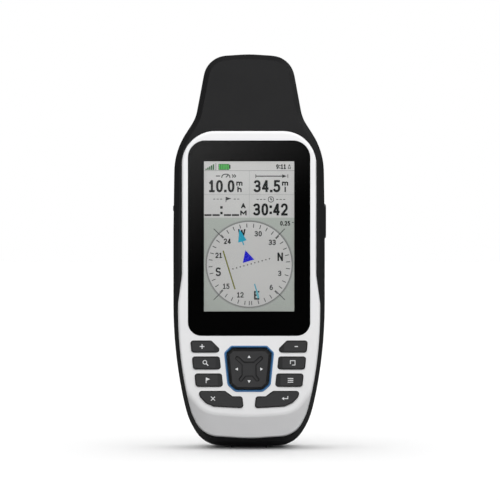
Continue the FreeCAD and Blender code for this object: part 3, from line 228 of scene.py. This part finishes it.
def board_material():
    """Solder mask with faint traces under it."""
    material, nodes, links, shader = new_material("solder_mask")
    coords = nodes.new("ShaderNodeTexCoord")
    traces = nodes.new("ShaderNodeTexBrick")
    traces.inputs["Scale"].default_value = 260.0
    traces.inputs["Color1"].default_value = (0.012, 0.12, 0.055, 1)
    traces.inputs["Color2"].default_value = (0.018, 0.16, 0.075, 1)
    traces.inputs["Mortar"].default_value = (0.03, 0.24, 0.11, 1)
    traces.inputs["Mortar Size"].default_value = 0.03
    mapping = nodes.new("ShaderNodeMapping")
    mapping.inputs["Rotation"].default_value = (math.pi / 2, 0, 0)
    links.new(coords.outputs["Object"], mapping.inputs["Vector"])
    links.new(mapping.outputs["Vector"], traces.inputs["Vector"])
    links.new(traces.outputs["Color"], shader.inputs["Base Color"])
    gloss = spread(nodes, links, traces.outputs["Fac"], 0, 1, 0.32, 0.24)
    links.new(gloss, shader.inputs["Roughness"])
    bumped(nodes, links, shader, traces.outputs["Fac"], 0.02)
    return material


def cell_material(name, copper_top):
    """A dark printed jacket with a copper band at the nub's end."""
    material, nodes, links, shader = new_material(name)
    coords = nodes.new("ShaderNodeTexCoord")
    parts = nodes.new("ShaderNodeSeparateXYZ")
    links.new(coords.outputs["Object"], parts.inputs["Vector"])
    low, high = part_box(name)
    edge = high[2] - COPPER_BAND if copper_top else low[2] + COPPER_BAND
    first, second = (0.0, 1.0) if copper_top else (1.0, 0.0)
    band = spread(nodes, links, parts.outputs["Z"], edge - BAND_BLUR, edge + BAND_BLUR,
                  first, second)
    print_colour = tinted(nodes, links, band, (0.02, 0.022, 0.028), (0.72, 0.36, 0.16))
    links.new(print_colour, shader.inputs["Base Color"])
    links.new(spread(nodes, links, band, 0, 1, 0.1, 0.85), shader.inputs["Metallic"])
    fine = noise(nodes, links, coords, 900.0, 3.0)
    links.new(spread(nodes, links, fine, 0.3, 0.7, 0.25, 0.36), shader.inputs["Roughness"])
    bumped(nodes, links, shader, fine, 0.01)
    return material


# Name, colour, roughness, grain per metre, its depth in mm, variation, specular level, coat.
black = moulded("black_moulding", srgb(20, 20, 21), 0.6, 3600, 0.02, 0.06, 0.16)
white = moulded("white_moulding", srgb(238, 238, 239), 0.42, 2600, 0.006, 0.012, 0.4)
# The keys' rim colour is painted shade: it darkens their sides like the shadow in the gaps around
# them.
keys = moulded("key_rubber", srgb(48, 48, 49), 0.5, 5200, 0.008, 0.05, 0.25, rim=srgb(6, 6, 6))
grip = moulded("grip_rubber", srgb(21, 21, 22), 0.8, 2400, 0.03, 0.1, 0.3)
soft = moulded("seal_rubber", srgb(26, 26, 27), 0.7, 3000, 0.015, 0.06, 0.3)
mask = moulded("mask_ink", srgb(5, 5, 5), 0.1, 2200, 0.0, 0.1, 0.45)
mat = moulded("silicone", srgb(176, 180, 182), 0.55, 1800, 0.01, 0.05, 0.5)
blue = moulded("ring_blue", srgb(66, 116, 166), 0.35, 1800, 0.004, 0.05, 0.5, 0.2)
chip = moulded("chip_black", srgb(34, 34, 36), 0.5, 6000, 0.01, 0.1)
film = moulded("flex_film", srgb(170, 112, 30), 0.35, 900, 0.004, 0.12)
pale = moulded("pale_moulding", srgb(226, 224, 214), 0.5, 1500, 0.01, 0.04)
# Name, colour, roughness, stretch of the lines along each axis, lines per metre.
tin = metal("tinned_sheet", (0.66, 0.67, 0.68), 0.32, (1, 1, 1), 700)
steel = metal("stainless", (0.62, 0.62, 0.61), 0.3, (1, 18, 1), 500)
dark_steel = metal("black_oxide", (0.09, 0.09, 0.095), 0.42, (1, 1, 1), 1800)
nickel = metal("nickel", (0.78, 0.77, 0.74), 0.2, (1, 1, 1), 900)
copper = metal("copper", (0.8, 0.42, 0.27), 0.28, (1, 1, 1), 1200)
brass = metal("brass", (0.74, 0.56, 0.26), 0.3, (1, 14, 1), 700)
panel = lit("panel_glass", srgb(196, 199, 196), 0.35)

SURFACES = {
    "black_plastic": black, "white_plastic": white, "key_rubber": keys, "grip_rubber": grip,
    "seal_rubber": soft, "mask_ink": mask, "mat_rubber": mat, "ring_blue": blue, "chip_black": chip,
    "flex_film": film, "ceramic_foam": pale, "light_white": pale, "adhesive": mask,
    "tinned_steel": tin, "stainless": steel, "screw_black": dark_steel, "spring_steel": nickel,
    "copper": copper, "brass": brass, "board_green": board_material(),
    "window_glass": window_material(), "display_glass": panel, "lead_black": soft,
}
SLOTS = {row["node"]: row["material_slot"] for row in frame["record"]["subparts"]}


def dress_nodes():
    """Gives each CAD node the surface of its slot."""
    for node, thing in frame["nodes"].items():
        if SLOTS[node] == "cell_jacket":
            material = cell_material(node, node == "battery_left")
        else:
            material = SURFACES[SLOTS[node]]
        if not thing.material_slots:
            thing.data.materials.append(None)
        for place in thing.material_slots:
            place.link = "OBJECT"
            place.material = material


dress_nodes()


# ---------------------------------------------------------------- flat marks, as thin closed solids

def plates(name, outlines, front, thick, material, body):
    """Closed prisms whose front face lies at y = front mm, or up to three STAGGER ahead of it.

    Each outline (x, z in mm) is a triangle, or runs up one side of a strip and back down."""
    mesh = bpy.data.meshes.new(name)
    work = bmesh.new()
    for count, outline in enumerate(outlines):
        pairs = zip(outline, outline[1:] + outline[:1])
        area = sum(a[0] * b[1] - b[0] * a[1] for a, b in pairs)
        ring = outline if area > 0 else outline[::-1]
        proud = front - STAGGER * (count % 4)
        near = [work.verts.new((x * MM, proud * MM, z * MM)) for x, z in ring]
        far = [work.verts.new((x * MM, (front + thick) * MM, z * MM)) for x, z in ring]
        last = len(ring) - 1
        steps = [(i, i + 1, last - 1 - i, last - i) for i in range(last // 2)]
        if last == 2:
            steps = [(0, 1, 2)]
        for step in steps:
            work.faces.new([near[i] for i in step])
            work.faces.new([far[i] for i in reversed(step)])
        for i in range(last + 1):
            j = (i + 1) % (last + 1)
            work.faces.new((near[j], near[i], far[i], far[j]))
    work.to_mesh(mesh)
    work.free()
    mesh.materials.append(material)
    thing = bpy.data.objects.new(name, mesh)
    bpy.context.scene.collection.objects.link(thing)
    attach(thing, body)


def disc(x, z, radius, steps):
    turn = [2 * math.pi * i / steps for i in range(steps)]
    return [(x + radius * math.cos(a), z + radius * math.sin(a)) for a in turn]


def arc_band(x, z, outer, inner, start, end, steps):
    """A band that follows an arc, angles in degrees anticlockwise from +x."""
    turn = [math.radians(start + (end - start) * i / steps) for i in range(steps + 1)]
    rim = [(x + outer * math.cos(a), z + outer * math.sin(a)) for a in turn]
    hub = [(x + inner * math.cos(a), z + inner * math.sin(a)) for a in reversed(turn)]
    return rim + hub


def bar(x0, z0, x1, z1, width):
    """A straight stroke between two points."""
    along = Vector((x1 - x0, z1 - z0)).normalized() * width / 2
    side = Vector((-along.y, along.x))
    return [(x0 + side.x, z0 + side.y), (x0 - side.x, z0 - side.y),
            (x1 - side.x, z1 - side.y), (x1 + side.x, z1 + side.y)]


def rect(x0, z0, x1, z1):
    return [(x0, z0), (x1, z0), (x1, z1), (x0, z1)]


def stroke(path, width):
    """An even band along a path, a little past both of its ends."""
    points = [Vector(p) for p in path]
    first = (points[1] - points[0]).normalized()
    last = (points[-1] - points[-2]).normalized()
    points[0] = points[0] - first * width * OVERSHOOT
    points[-1] = points[-1] + last * width * OVERSHOOT
    left, right = [], []
    for i, point in enumerate(points):
        before = (point - points[i - 1]).normalized() if i else first
        after = (points[i + 1] - point).normalized() if i < len(points) - 1 else last
        along = (before + after).normalized()
        side = Vector((-along.y, along.x)) * width / 2 / max(0.7, along.dot(after))
        left.append(tuple(point + side))
        right.append(tuple(point - side))
    return left + right[::-1]


def bow(x, z, wide, tall, start, end, steps=10):
    """Points of an arc of an oval with full shoulders, angles in degrees anticlockwise from +x."""
    points = []
    for i in range(steps + 1):
        turn = math.radians(start + (end - start) * i / steps)
        across, up = [math.copysign(abs(part) ** SHOULDER, part)
                      for part in (math.cos(turn), math.sin(turn))]
        points.append((x + wide * across, z + tall * up))
    return points


LETTERS = {
    "0": [bow(0.5, 0.5, 0.5, 0.5, 0, 180), bow(0.5, 0.5, 0.5, 0.5, 180, 360)],
    "1": [[(0.08, 0.82), (0.52, 1.0)], [(0.52, 1.0), (0.52, 0.0)], [(0.04, 0.0), (1.0, 0.0)]],
    "2": [bow(0.48, 0.7, 0.5, 0.3, 165, -25) + [(0.05, 0.03)], [(0.0, 0.0), (1.0, 0.0)]],
    "3": [bow(0.42, 0.75, 0.5, 0.25, 150, -85), bow(0.42, 0.27, 0.56, 0.27, 85, -150),
          [(0.3, 0.51), (0.5, 0.51)]],
    "4": [[(0.76, 0.0), (0.76, 1.0)], [(0.7, 1.0), (0.0, 0.28)], [(0.0, 0.26), (1.0, 0.26)]],
    "5": [[(0.12, 1.0), (0.92, 1.0)], [(0.1, 0.98), (0.1, 0.56)],
          bow(0.42, 0.31, 0.56, 0.31, 125, -150)],
    "6": [bow(0.5, 0.31, 0.48, 0.31, 0, 180), bow(0.5, 0.31, 0.48, 0.31, 180, 360),
          bow(0.85, 0.4, 0.82, 0.6, 180, 95)],
    "9": [bow(0.5, 0.69, 0.48, 0.31, 0, 180), bow(0.5, 0.69, 0.48, 0.31, 180, 360),
          bow(0.15, 0.6, 0.82, 0.6, 0, -85)],
    "N": [[(0, 0), (0, 1)], [(0.04, 0.98), (0.96, 0.02)], [(1, 0), (1, 1)]],
    "E": [[(0, 0), (0, 1)], [(0, 1), (1, 1)], [(0, 0.52), (0.85, 0.52)], [(0, 0), (1, 0)]],
    "S": [bow(0.5, 0.75, 0.48, 0.25, 35, 255) + bow(0.48, 0.25, 0.5, 0.25, 75, -145)],
    "W": [[(0, 1), (0.26, 0)], [(0.26, 0), (0.5, 0.9)], [(0.5, 0.9), (0.74, 0)],
          [(0.74, 0), (1, 1)]],
    "A": [[(0, 0), (0.5, 1)], [(0.5, 1), (1, 0)], [(0.22, 0.3), (0.78, 0.3)]],
    "M": [[(0, 0), (0, 1)], [(0, 1), (0.5, 0.3)], [(0.5, 0.3), (1, 1)], [(1, 1), (1, 0)]],
    "m": [[(0, 0), (0, 1)], [(0, 0.9), (0.3, 1), (0.5, 0.82), (0.5, 0)],
          [(0.5, 0.82), (0.78, 1), (1, 0.82), (1, 0)]],
    "h": [[(0, 0), (0, 1)], [(0, 0.52), (0.45, 0.68), (0.9, 0.6), (1, 0.42), (1, 0)]],
    "i": [[(0.5, 0), (0.5, 0.62)], [(0.5, 0.92), (0.5, 1)]],
}


def lettering(text, x, z, height, wide, thick, gap):
    """Outlines of digits and dial letters, centred on x, z, with z down."""
    def room(char):
        if char in ":.":
            return thick * 1.1
        return wide * (1.35 if char in "WMm" else 0.9 if char == "1" else 1.0)

    at = x - (sum(room(char) for char in text) + gap * (len(text) - 1)) / 2
    outlines = []
    for char in text:
        if char in ":.":
            size = thick * 1.15
            for level in ([0.0] if char == "." else [0.12, 0.62]):
                foot = z + height / 2 - level * height
                outlines.append(rect(at, foot - size, at + size, foot))
        else:
            span = room(char) - thick
            for path in LETTERS[char]:
                left, base = at + thick / 2, z + height / 2 - thick / 2
                placed = [(left + u * span, base - v * (height - thick)) for u, v in path]
                outlines.append(stroke(placed, thick))
        at += room(char) + gap
    return outlines


# ---------------------------------------------------------------- the picture on the display

GLASS_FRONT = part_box("lcd_glass")[0][1] / MM
SCREEN_LEFT, SCREEN_TOP = -19.55, 125.0
SCREEN_WIDTH, SCREEN_HEIGHT = 39.1, 65.0
SHEET = 0.012               # mm, thickness of one layer of the picture
LAYER = 0.02                # mm from one layer to the next
# Glow of the display pieces, partly painted light in place of the daylight the screen reflects
GLOW = 0.78
SPLIT = 24.4                # mm from the screen's top to the foot of the data fields
ROSE_X, ROSE_Z, ROSE_R = 19.63, 44.6, 18.65
ROSE_TURN = 76.4            # degrees
LABEL_R = 13.8
LIGHT, GREY, INK = srgb(197, 197, 196), srgb(70, 72, 72), srgb(24, 25, 26)


def screen(name, outlines, layer, colour):
    """Outlines given from the screen's top left corner: x right and z down, in mm."""
    placed = [[(SCREEN_LEFT + x, SCREEN_TOP - z) for x, z in outline] for outline in outlines]
    front = GLASS_FRONT - LAYER - layer * LAYER
    plates("screen_" + name, placed, front, SHEET, lit("lit_" + name, colour, GLOW), "body")


def draw_frame():
    """The two backgrounds, the lines between the fields and the row at the top."""
    screen("data", [rect(0, 0, SCREEN_WIDTH, SPLIT)], 0, LIGHT)
    screen("field", [rect(0, SPLIT, SCREEN_WIDTH, SCREEN_HEIGHT)], 0, srgb(172, 178, 172))
    screen("lines", [rect(0, 3.95, SCREEN_WIDTH, 4.12)], 1, srgb(120, 122, 122))
    screen("fine_lines", [rect(0, 14.3, SCREEN_WIDTH, 14.5), rect(19.6, 4.12, 19.76, SPLIT)], 1,
           srgb(168, 170, 170))

    screen("signal", [rect(0.6 + 0.8 * i, 3.7 - 0.47 * (i + 1.2), 1.22 + 0.8 * i, 3.7)
                      for i in range(5)], 1, srgb(34, 92, 44))
    screen("signal_last", [rect(4.75, 0.9, 5.4, 3.7)], 1, srgb(136, 140, 138))
    screen("signal_hollow", [rect(4.97, 1.12, 5.18, 3.48)], 2, LIGHT)
    screen("battery_frame", [rect(6.3, 1.1, 11.0, 3.7), rect(11.0, 1.55, 11.5, 3.2)], 1,
           srgb(34, 60, 38))
    screen("battery_level", [rect(6.5, 1.3, 6.95, 3.5), rect(10.4, 1.3, 10.8, 3.5)]
           + [rect(7.25 + 0.8 * i, 1.3, 7.75 + 0.8 * i, 3.5) for i in range(4)], 2,
           srgb(84, 186, 88))

    screen("clock", lettering("9:11", 33.4, 2.3, 2.1, 1.15, 0.46, 0.18), 1, INK)
    screen("clock_half", lettering("A", 37.0, 1.8, 1.05, 1.0, 0.26, 0.1)
           + lettering("M", 37.0, 2.95, 1.0, 0.9, 0.26, 0.1), 1, GREY)


def draw_fields():
    """The four data fields: figures, units and the small icons over them."""
    big = (5.3, 2.95, 0.98, 0.5)
    screen("figures", lettering("10.0", 7.65, 10.75, *big) + lettering("34.5", 27.4, 10.75, *big)
           + lettering("30:42", 28.9, 20.85, *big), 1, INK)
    screen("blanks", [rect(x, 22.9, x + 3.1, 23.65) for x in (0.2, 3.7, 8.65, 12.1)]
           + [rect(7.05, z, 8.1, z + 1.1) for z in (19.4, 21.85)], 1, INK)
    screen("units", lettering("m", 15.35, 9.65, 1.85, 2.0, 0.56, 0.1)
           + lettering("h", 15.4, 12.1, 2.5, 1.9, 0.58, 0.1)
           + lettering("m", 35.15, 9.65, 1.85, 2.0, 0.56, 0.1)
           + lettering("i", 35.2, 12.1, 2.4, 1.0, 0.6, 0.1)
           + lettering("A", 17.05, 19.25, 2.2, 2.0, 0.58, 0.1)
           + lettering("M", 17.1, 22.35, 2.2, 2.05, 0.58, 0.1), 1, INK)
    pen = 0.42
    speed = [stroke(bow(9.5, 7.0, 1.75, -1.45, 0, 180, 16), pen), bar(9.5, 6.95, 10.5, 5.95, pen)]
    speed += [bar(12.2 + i, 5.7, 12.9 + i, 6.35, pen) for i in (0, 0.9)]
    speed += [bar(12.9 + i, 6.35, 12.2 + i, 7.0, pen) for i in (0, 0.9)]
    speed += [bar(5.2, 6.35, 7.0, 6.35, pen)]
    way = [bar(22.6, 6.4, 34.2, 6.4, pen), rect(22.3, 5.6, 22.6, 7.2), rect(36.2, 5.6, 36.5, 7.2),
           [(33.9, 5.6), (35.9, 6.4), (33.9, 7.2)]]
    arrival = [rect(9.4, 15.4, 9.7, 17.6), [(9.7, 15.45), (11.9, 16.15), (9.7, 16.85)]]
    arrival += [rect(4.0 + 1.5 * i, 16.2, 4.9 + 1.5 * i, 16.5) for i in range(3)]
    arrival += [rect(12.9 + 1.5 * i, 16.2, 13.8 + 1.5 * i, 16.5) for i in range(2)]
    time = [stroke(bow(29.0, 16.5, 1.15, 1.15, a, a + 180, 14), 0.3) for a in (0, 180)]
    time += [bar(29.0, 16.6, 29.0, 15.75, pen), bar(28.9, 16.5, 29.6, 16.75, pen)]
    time += [rect(x + 1.5 * i, 16.35, x + 0.9 + 1.5 * i, 16.65)
             for i in range(3) for x in (22.8, 31.3)]
    screen("field_marks", speed + way + arrival + time, 1, srgb(48, 50, 50))


def around(bearing, reach):
    """A point of the compass rose, which is turned as the device faces."""
    angle = math.radians(bearing + ROSE_TURN)
    return ROSE_X + reach * math.sin(angle), ROSE_Z - reach * math.cos(angle)


def draw_rose():
    """The compass dial with its ticks, letters, pointers and course line."""
    for name, extra, layer, colour in (("dial_halo", 0.6, 1, srgb(158, 162, 158)),
                                       ("dial_shade", 0.25, 2, srgb(128, 130, 129)),
                                       ("dial", -0.3, 3, LIGHT)):
        screen(name, [disc(ROSE_X, ROSE_Z, ROSE_R + extra, 120)], layer, colour)
    ticks = [bar(*around(10 * i, 17.7), *around(10 * i, 15.95), 0.36) for i in range(36)]
    ticks.append(bar(ROSE_X, ROSE_Z + 15.9, ROSE_X, ROSE_Z + 17.7, 0.36))
    screen("ticks", ticks, 4, srgb(70, 72, 73))
    near, far = 11.3, 15.4
    diagonals = [bar(ROSE_X + a * near, ROSE_Z + b * near, ROSE_X + a * far, ROSE_Z + b * far, 0.34)
                 for a in (-1, 1) for b in (-1, 1)]
    screen("corner_marks", diagonals, 4, GREY)
    letters = [outline for i, letter in enumerate("NESW")
               for outline in lettering(letter, *around(90 * i, LABEL_R), 3.8, 2.4, 0.7, 0)]
    screen("dial_letters", letters, 4, INK)
    numbers = [outline for n in (3, 6, 12, 15, 21, 24, 30, 33)
               for outline in lettering(str(n), *around(10 * n, LABEL_R), 2.35, 1.4, 0.44, 0.25)]
    screen("dial_numbers", numbers, 4, INK)
    screen("scale", lettering("0.25", 35.2, 26.85, 2.0, 1.1, 0.4, 0.2)
           + [rect(38.1, 26.3, 39.0, 26.55)], 1, INK)
    screen("heading", [[(17.95, 38.5), (21.8, 42.55), (16.8, 44.0)]], 5, srgb(24, 22, 200))
    screen("pointer", [[(15.35, 29.3), (18.5, 34.15), (16.6, 34.8)],
                       [(15.35, 29.3), (16.6, 34.8), (14.8, 35.2)],
                       bar(16.5, 34.4, 17.3, 36.2, 0.5), bar(21.9, 53.1, 22.85, 56.2, 0.5)], 6,
           srgb(44, 158, 186))
    screen("pointer_tail", [bar(22.85, 56.2, 23.6, 59.3, 0.95)], 6, srgb(96, 176, 190))
    screen("course", [bar(8.3, 38.7, 13.45, 55.4, 0.6)], 5, srgb(112, 114, 40))
    dots = [disc(12.55 + 15.85 * i / 10, 46.6 - 4.4 * i / 10, 0.3, 12) for i in range(11)]
    screen("cross_track", dots, 5, srgb(30, 32, 32))


draw_frame()
draw_fields()
draw_rose()


# ---------------------------------------------------------------- marks on the keys

MARK_PROUD = 0.015          # mm
paint = moulded("mark_paint", srgb(226, 227, 228), 0.5, 3000, 0.003, 0.02)


def key_mark(name, key, outlines):
    """Paint on a key: its front stands a little before the key's, its back lies inside the key."""
    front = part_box(key)[0][1] / MM - MARK_PROUD
    plates(name, outlines, front, 2 * MARK_PROUD, paint, key)


def draw_key_marks():
    pen = 0.34
    x, z = -20.3, 44.9
    key_mark("key_zoom_in_mark", "key_zoom_in",
             [rect(x - 1.0, z - 0.19, x - 0.19, z + 0.19),
              rect(x + 0.19, z - 0.19, x + 1.0, z + 0.19),
              rect(x - 0.19, z - 1.0, x + 0.19, z + 1.0)])
    key_mark("key_zoom_out_mark", "key_zoom_out", [rect(19.7, 44.7, 21.1, 45.1)])
    x, z = -18.9, 37.9
    key_mark("key_find_mark", "key_find",
             [arc_band(x - 0.2, z + 0.2, 0.95, 0.65, 0, 180, 16),
              arc_band(x - 0.2, z + 0.2, 0.95, 0.65, 180, 360, 16),
              bar(x + 0.45, z - 0.45, x + 1.25, z - 1.25, 0.4)])
    x, z = 18.8, 37.75
    key_mark("key_page_mark", "key_page",
             [rect(x - 0.2, z - 1.0, x + 1.2, z - 0.7), rect(x + 0.9, z - 0.7, x + 1.2, z + 0.9),
              rect(x - 1.1, z + 0.9, x + 1.2, z + 1.2), rect(x - 1.1, z - 0.4, x - 0.8, z + 0.9)])
    x, z = -17.9, 30.3
    key_mark("key_mark_mark", "key_mark",
             [rect(x - 0.8, z - 1.2, x - 0.5, z + 1.2),
              [(x - 0.5, z + 1.15), (x + 1.1, z + 0.5), (x - 0.5, z - 0.15)]])
    x, z = 17.9, 30.3
    key_mark("key_menu_mark", "key_menu",
             [rect(x - 1.2, z + s - pen / 2, x + 1.2, z + s + pen / 2) for s in (-0.8, 0, 0.8)])
    x, z = -15.6, 22.4
    key_mark("key_quit_mark", "key_quit",
             [bar(x - 0.85, z - 0.85, x + 0.85, z + 0.85, pen),
              bar(x - 0.85, z + 0.85, x - 0.13, z + 0.13, pen),
              bar(x + 0.13, z - 0.13, x + 0.85, z - 0.85, pen)])
    x, z = 15.6, 22.4
    key_mark("key_enter_mark", "key_enter",
             [rect(x - 0.6, z - 0.17, x + 1.3, z + 0.17),
              rect(x + 0.96, z + 0.17, x + 1.3, z + 1.1),
              [(x - 1.4, z), (x - 0.5, z - 0.7), (x - 0.5, z + 0.7)]])


def draw_rocker_arrows():
    low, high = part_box("rocker_pad")
    middle = (low[2] + high[2]) / 2 / MM
    half, tall, reach = 0.68, 1.15, 5.4
    arrows = []
    for dx, dz in ((0, 1), (0, -1), (1, 0), (-1, 0)):
        x, z = dx * reach, middle + dz * reach
        arrows.append([(x + dx * tall / 2, z + dz * tall / 2),
                       (x - dx * tall / 2 + dz * half, z - dz * tall / 2 - dx * half),
                       (x - dx * tall / 2 - dz * half, z - dz * tall / 2 + dx * half)])
    key_mark("rocker_arrows", "rocker_pad", arrows)


draw_key_marks()
draw_rocker_arrows()


# ---------------------------------------------------------------- camera, floor and light

CAMERA_AT = 0.0004, -0.8, 0.0866
SENSOR, LENS = 36.0, 130.7
NEAR_REACH, FAR_REACH = 0.45, 12.0      # half sides of the two sheets of floor, metres
BODY_MIDDLE = 0, 0, 0.1


def build_camera():
    view = bpy.data.cameras.new("camera")
    view.sensor_width = SENSOR
    view.lens = LENS
    view.clip_start = 0.01
    view.clip_end = 50.0
    camera = bpy.data.objects.new("camera", view)
    camera.location = CAMERA_AT
    camera.rotation_euler = (math.pi / 2, 0, 0)
    bpy.context.scene.collection.objects.link(camera)
    bpy.context.scene.camera = camera


def sheet(name, corners, faces, material, mirrored):
    """A piece of floor at z = 0; mirrored says whether glossy surfaces show it."""
    mesh = bpy.data.meshes.new(name)
    mesh.from_pydata([(x, y, 0) for x, y in corners], [], faces)
    mesh.materials.append(material)
    thing = bpy.data.objects.new(name, mesh)
    thing.visible_diffuse = False
    thing.visible_glossy = mirrored
    bpy.context.scene.collection.objects.link(thing)
    return thing


def build_floor():
    """White paper; glossy surfaces show only the near sheet, so the front window stays dark."""
    material, nodes, links, shader = new_material("paper_floor")
    coords = nodes.new("ShaderNodeTexCoord")
    fibre = noise(nodes, links, coords, 900.0, 3.0)
    paper = tinted(nodes, links, fibre, (0.86, 0.86, 0.86), (0.9, 0.9, 0.9))
    links.new(paper, shader.inputs["Base Color"])
    shader.inputs["Roughness"].default_value = 0.9
    shader.inputs["Specular IOR Level"].default_value = 0.1
    near, far = [[(-reach, -reach), (reach, -reach), (reach, reach), (-reach, reach)]
                 for reach in (NEAR_REACH, FAR_REACH)]
    border = [(i, (i + 1) % 4, (i + 1) % 4 + 4, i + 4) for i in range(4)]
    return [sheet("near_floor", near, [(0, 1, 2, 3)], material, True),
            sheet("far_floor", far + near, border, material, False)]


def lights_only(lamp, floor, wanted):
    """The lamp lights the floor alone, or all but the floor; everything still casts shadows."""
    group = bpy.data.collections.new(lamp.name + "_receivers")
    for thing in floor:
        group.objects.link(thing)
    lamp.light_linking.receiver_collection = group
    for member in group.collection_objects:
        member.light_linking.link_state = "INCLUDE" if wanted else "EXCLUDE"


def area_light(name, place, side, power):
    """A square lamp that faces the middle of the body."""
    lamp = bpy.data.lights.new(name, "AREA")
    lamp.size = side
    lamp.energy = power
    thing = bpy.data.objects.new(name, lamp)
    thing.location = place
    aim = Vector(BODY_MIDDLE) - Vector(place)
    thing.rotation_euler = aim.to_track_quat("-Z", "Y").to_euler()
    bpy.context.scene.collection.objects.link(thing)
    return thing


def build_world():
    """White behind everything; as light, a bright ceiling that fades to a dark studio in front.

    A soft box at the upper left of the front gives the window its reflection."""
    world = bpy.data.worlds.new("studio")
    bpy.context.scene.world = world
    world.use_nodes = True
    nodes, links = world.node_tree.nodes, world.node_tree.links
    nodes.clear()
    coords = nodes.new("ShaderNodeTexCoord")
    parts = nodes.new("ShaderNodeSeparateXYZ")
    links.new(coords.outputs["Generated"], parts.inputs["Vector"])
    x, y, z = [parts.outputs[axis] for axis in "XYZ"]
    ceiling = spread(nodes, links, z, 0.0, 0.75, 0.04, 0.38, "SMOOTHSTEP")
    slant = arithmetic(nodes, links, "MULTIPLY_ADD", x, -0.75, z)
    soft_box = spread(nodes, links, slant, 0.0, 0.16, 0.0, 1.6, "SMOOTHSTEP")
    front = spread(nodes, links, y, -0.8, -0.95, 0.0, 1.0)
    lobe = arithmetic(nodes, links, "MULTIPLY", soft_box, front)
    seen, cast = [nodes.new("ShaderNodeBackground") for _ in range(2)]
    for background in (seen, cast):
        background.inputs["Color"].default_value = (1, 1, 1, 1)
    links.new(arithmetic(nodes, links, "ADD", ceiling, lobe), cast.inputs["Strength"])
    mix = nodes.new("ShaderNodeMixShader")
    path = nodes.new("ShaderNodeLightPath")
    links.new(path.outputs["Is Camera Ray"], mix.inputs["Fac"])
    links.new(cast.outputs["Background"], mix.inputs[1])
    links.new(seen.outputs["Background"], mix.inputs[2])
    out = nodes.new("ShaderNodeOutputWorld")
    links.new(mix.outputs["Shader"], out.inputs["Surface"])


def sun(name, power, wide, tilt, turn):
    """A soft distant lamp, tilted from straight above and then turned about the vertical."""
    lamp = bpy.data.lights.new(name, "SUN")
    lamp.energy = power
    lamp.angle = math.radians(wide)
    thing = bpy.data.objects.new(name, lamp)
    thing.rotation_euler = (math.radians(tilt), 0, math.radians(turn))
    bpy.context.scene.collection.objects.link(thing)
    return thing


build_camera()
floor_sheets = build_floor()
build_world()
for side, turn in (("left", 104), ("right", -104)):
    ceiling = sun("ceiling_" + side, power=1.68, wide=75, tilt=32, turn=turn)
    lights_only(ceiling, floor_sheets, True)
for name, place, side, power in (("key", (-0.2, -0.42, 0.46), 0.35, 1.84),
                                 ("fill", (0.38, -0.42, 0.38), 0.35, 2.2),
                                 ("rear_key", (0.4, 0.6, 0.35), 0.5, 6.0),
                                 ("rear_fill", (-0.35, 0.65, 0.25), 0.5, 4.5)):
    lights_only(area_light(name, place, side, power), floor_sheets, False)
bpy.context.scene.view_settings.view_transform = "Standard"
bpy.context.scene.view_settings.look = "None"
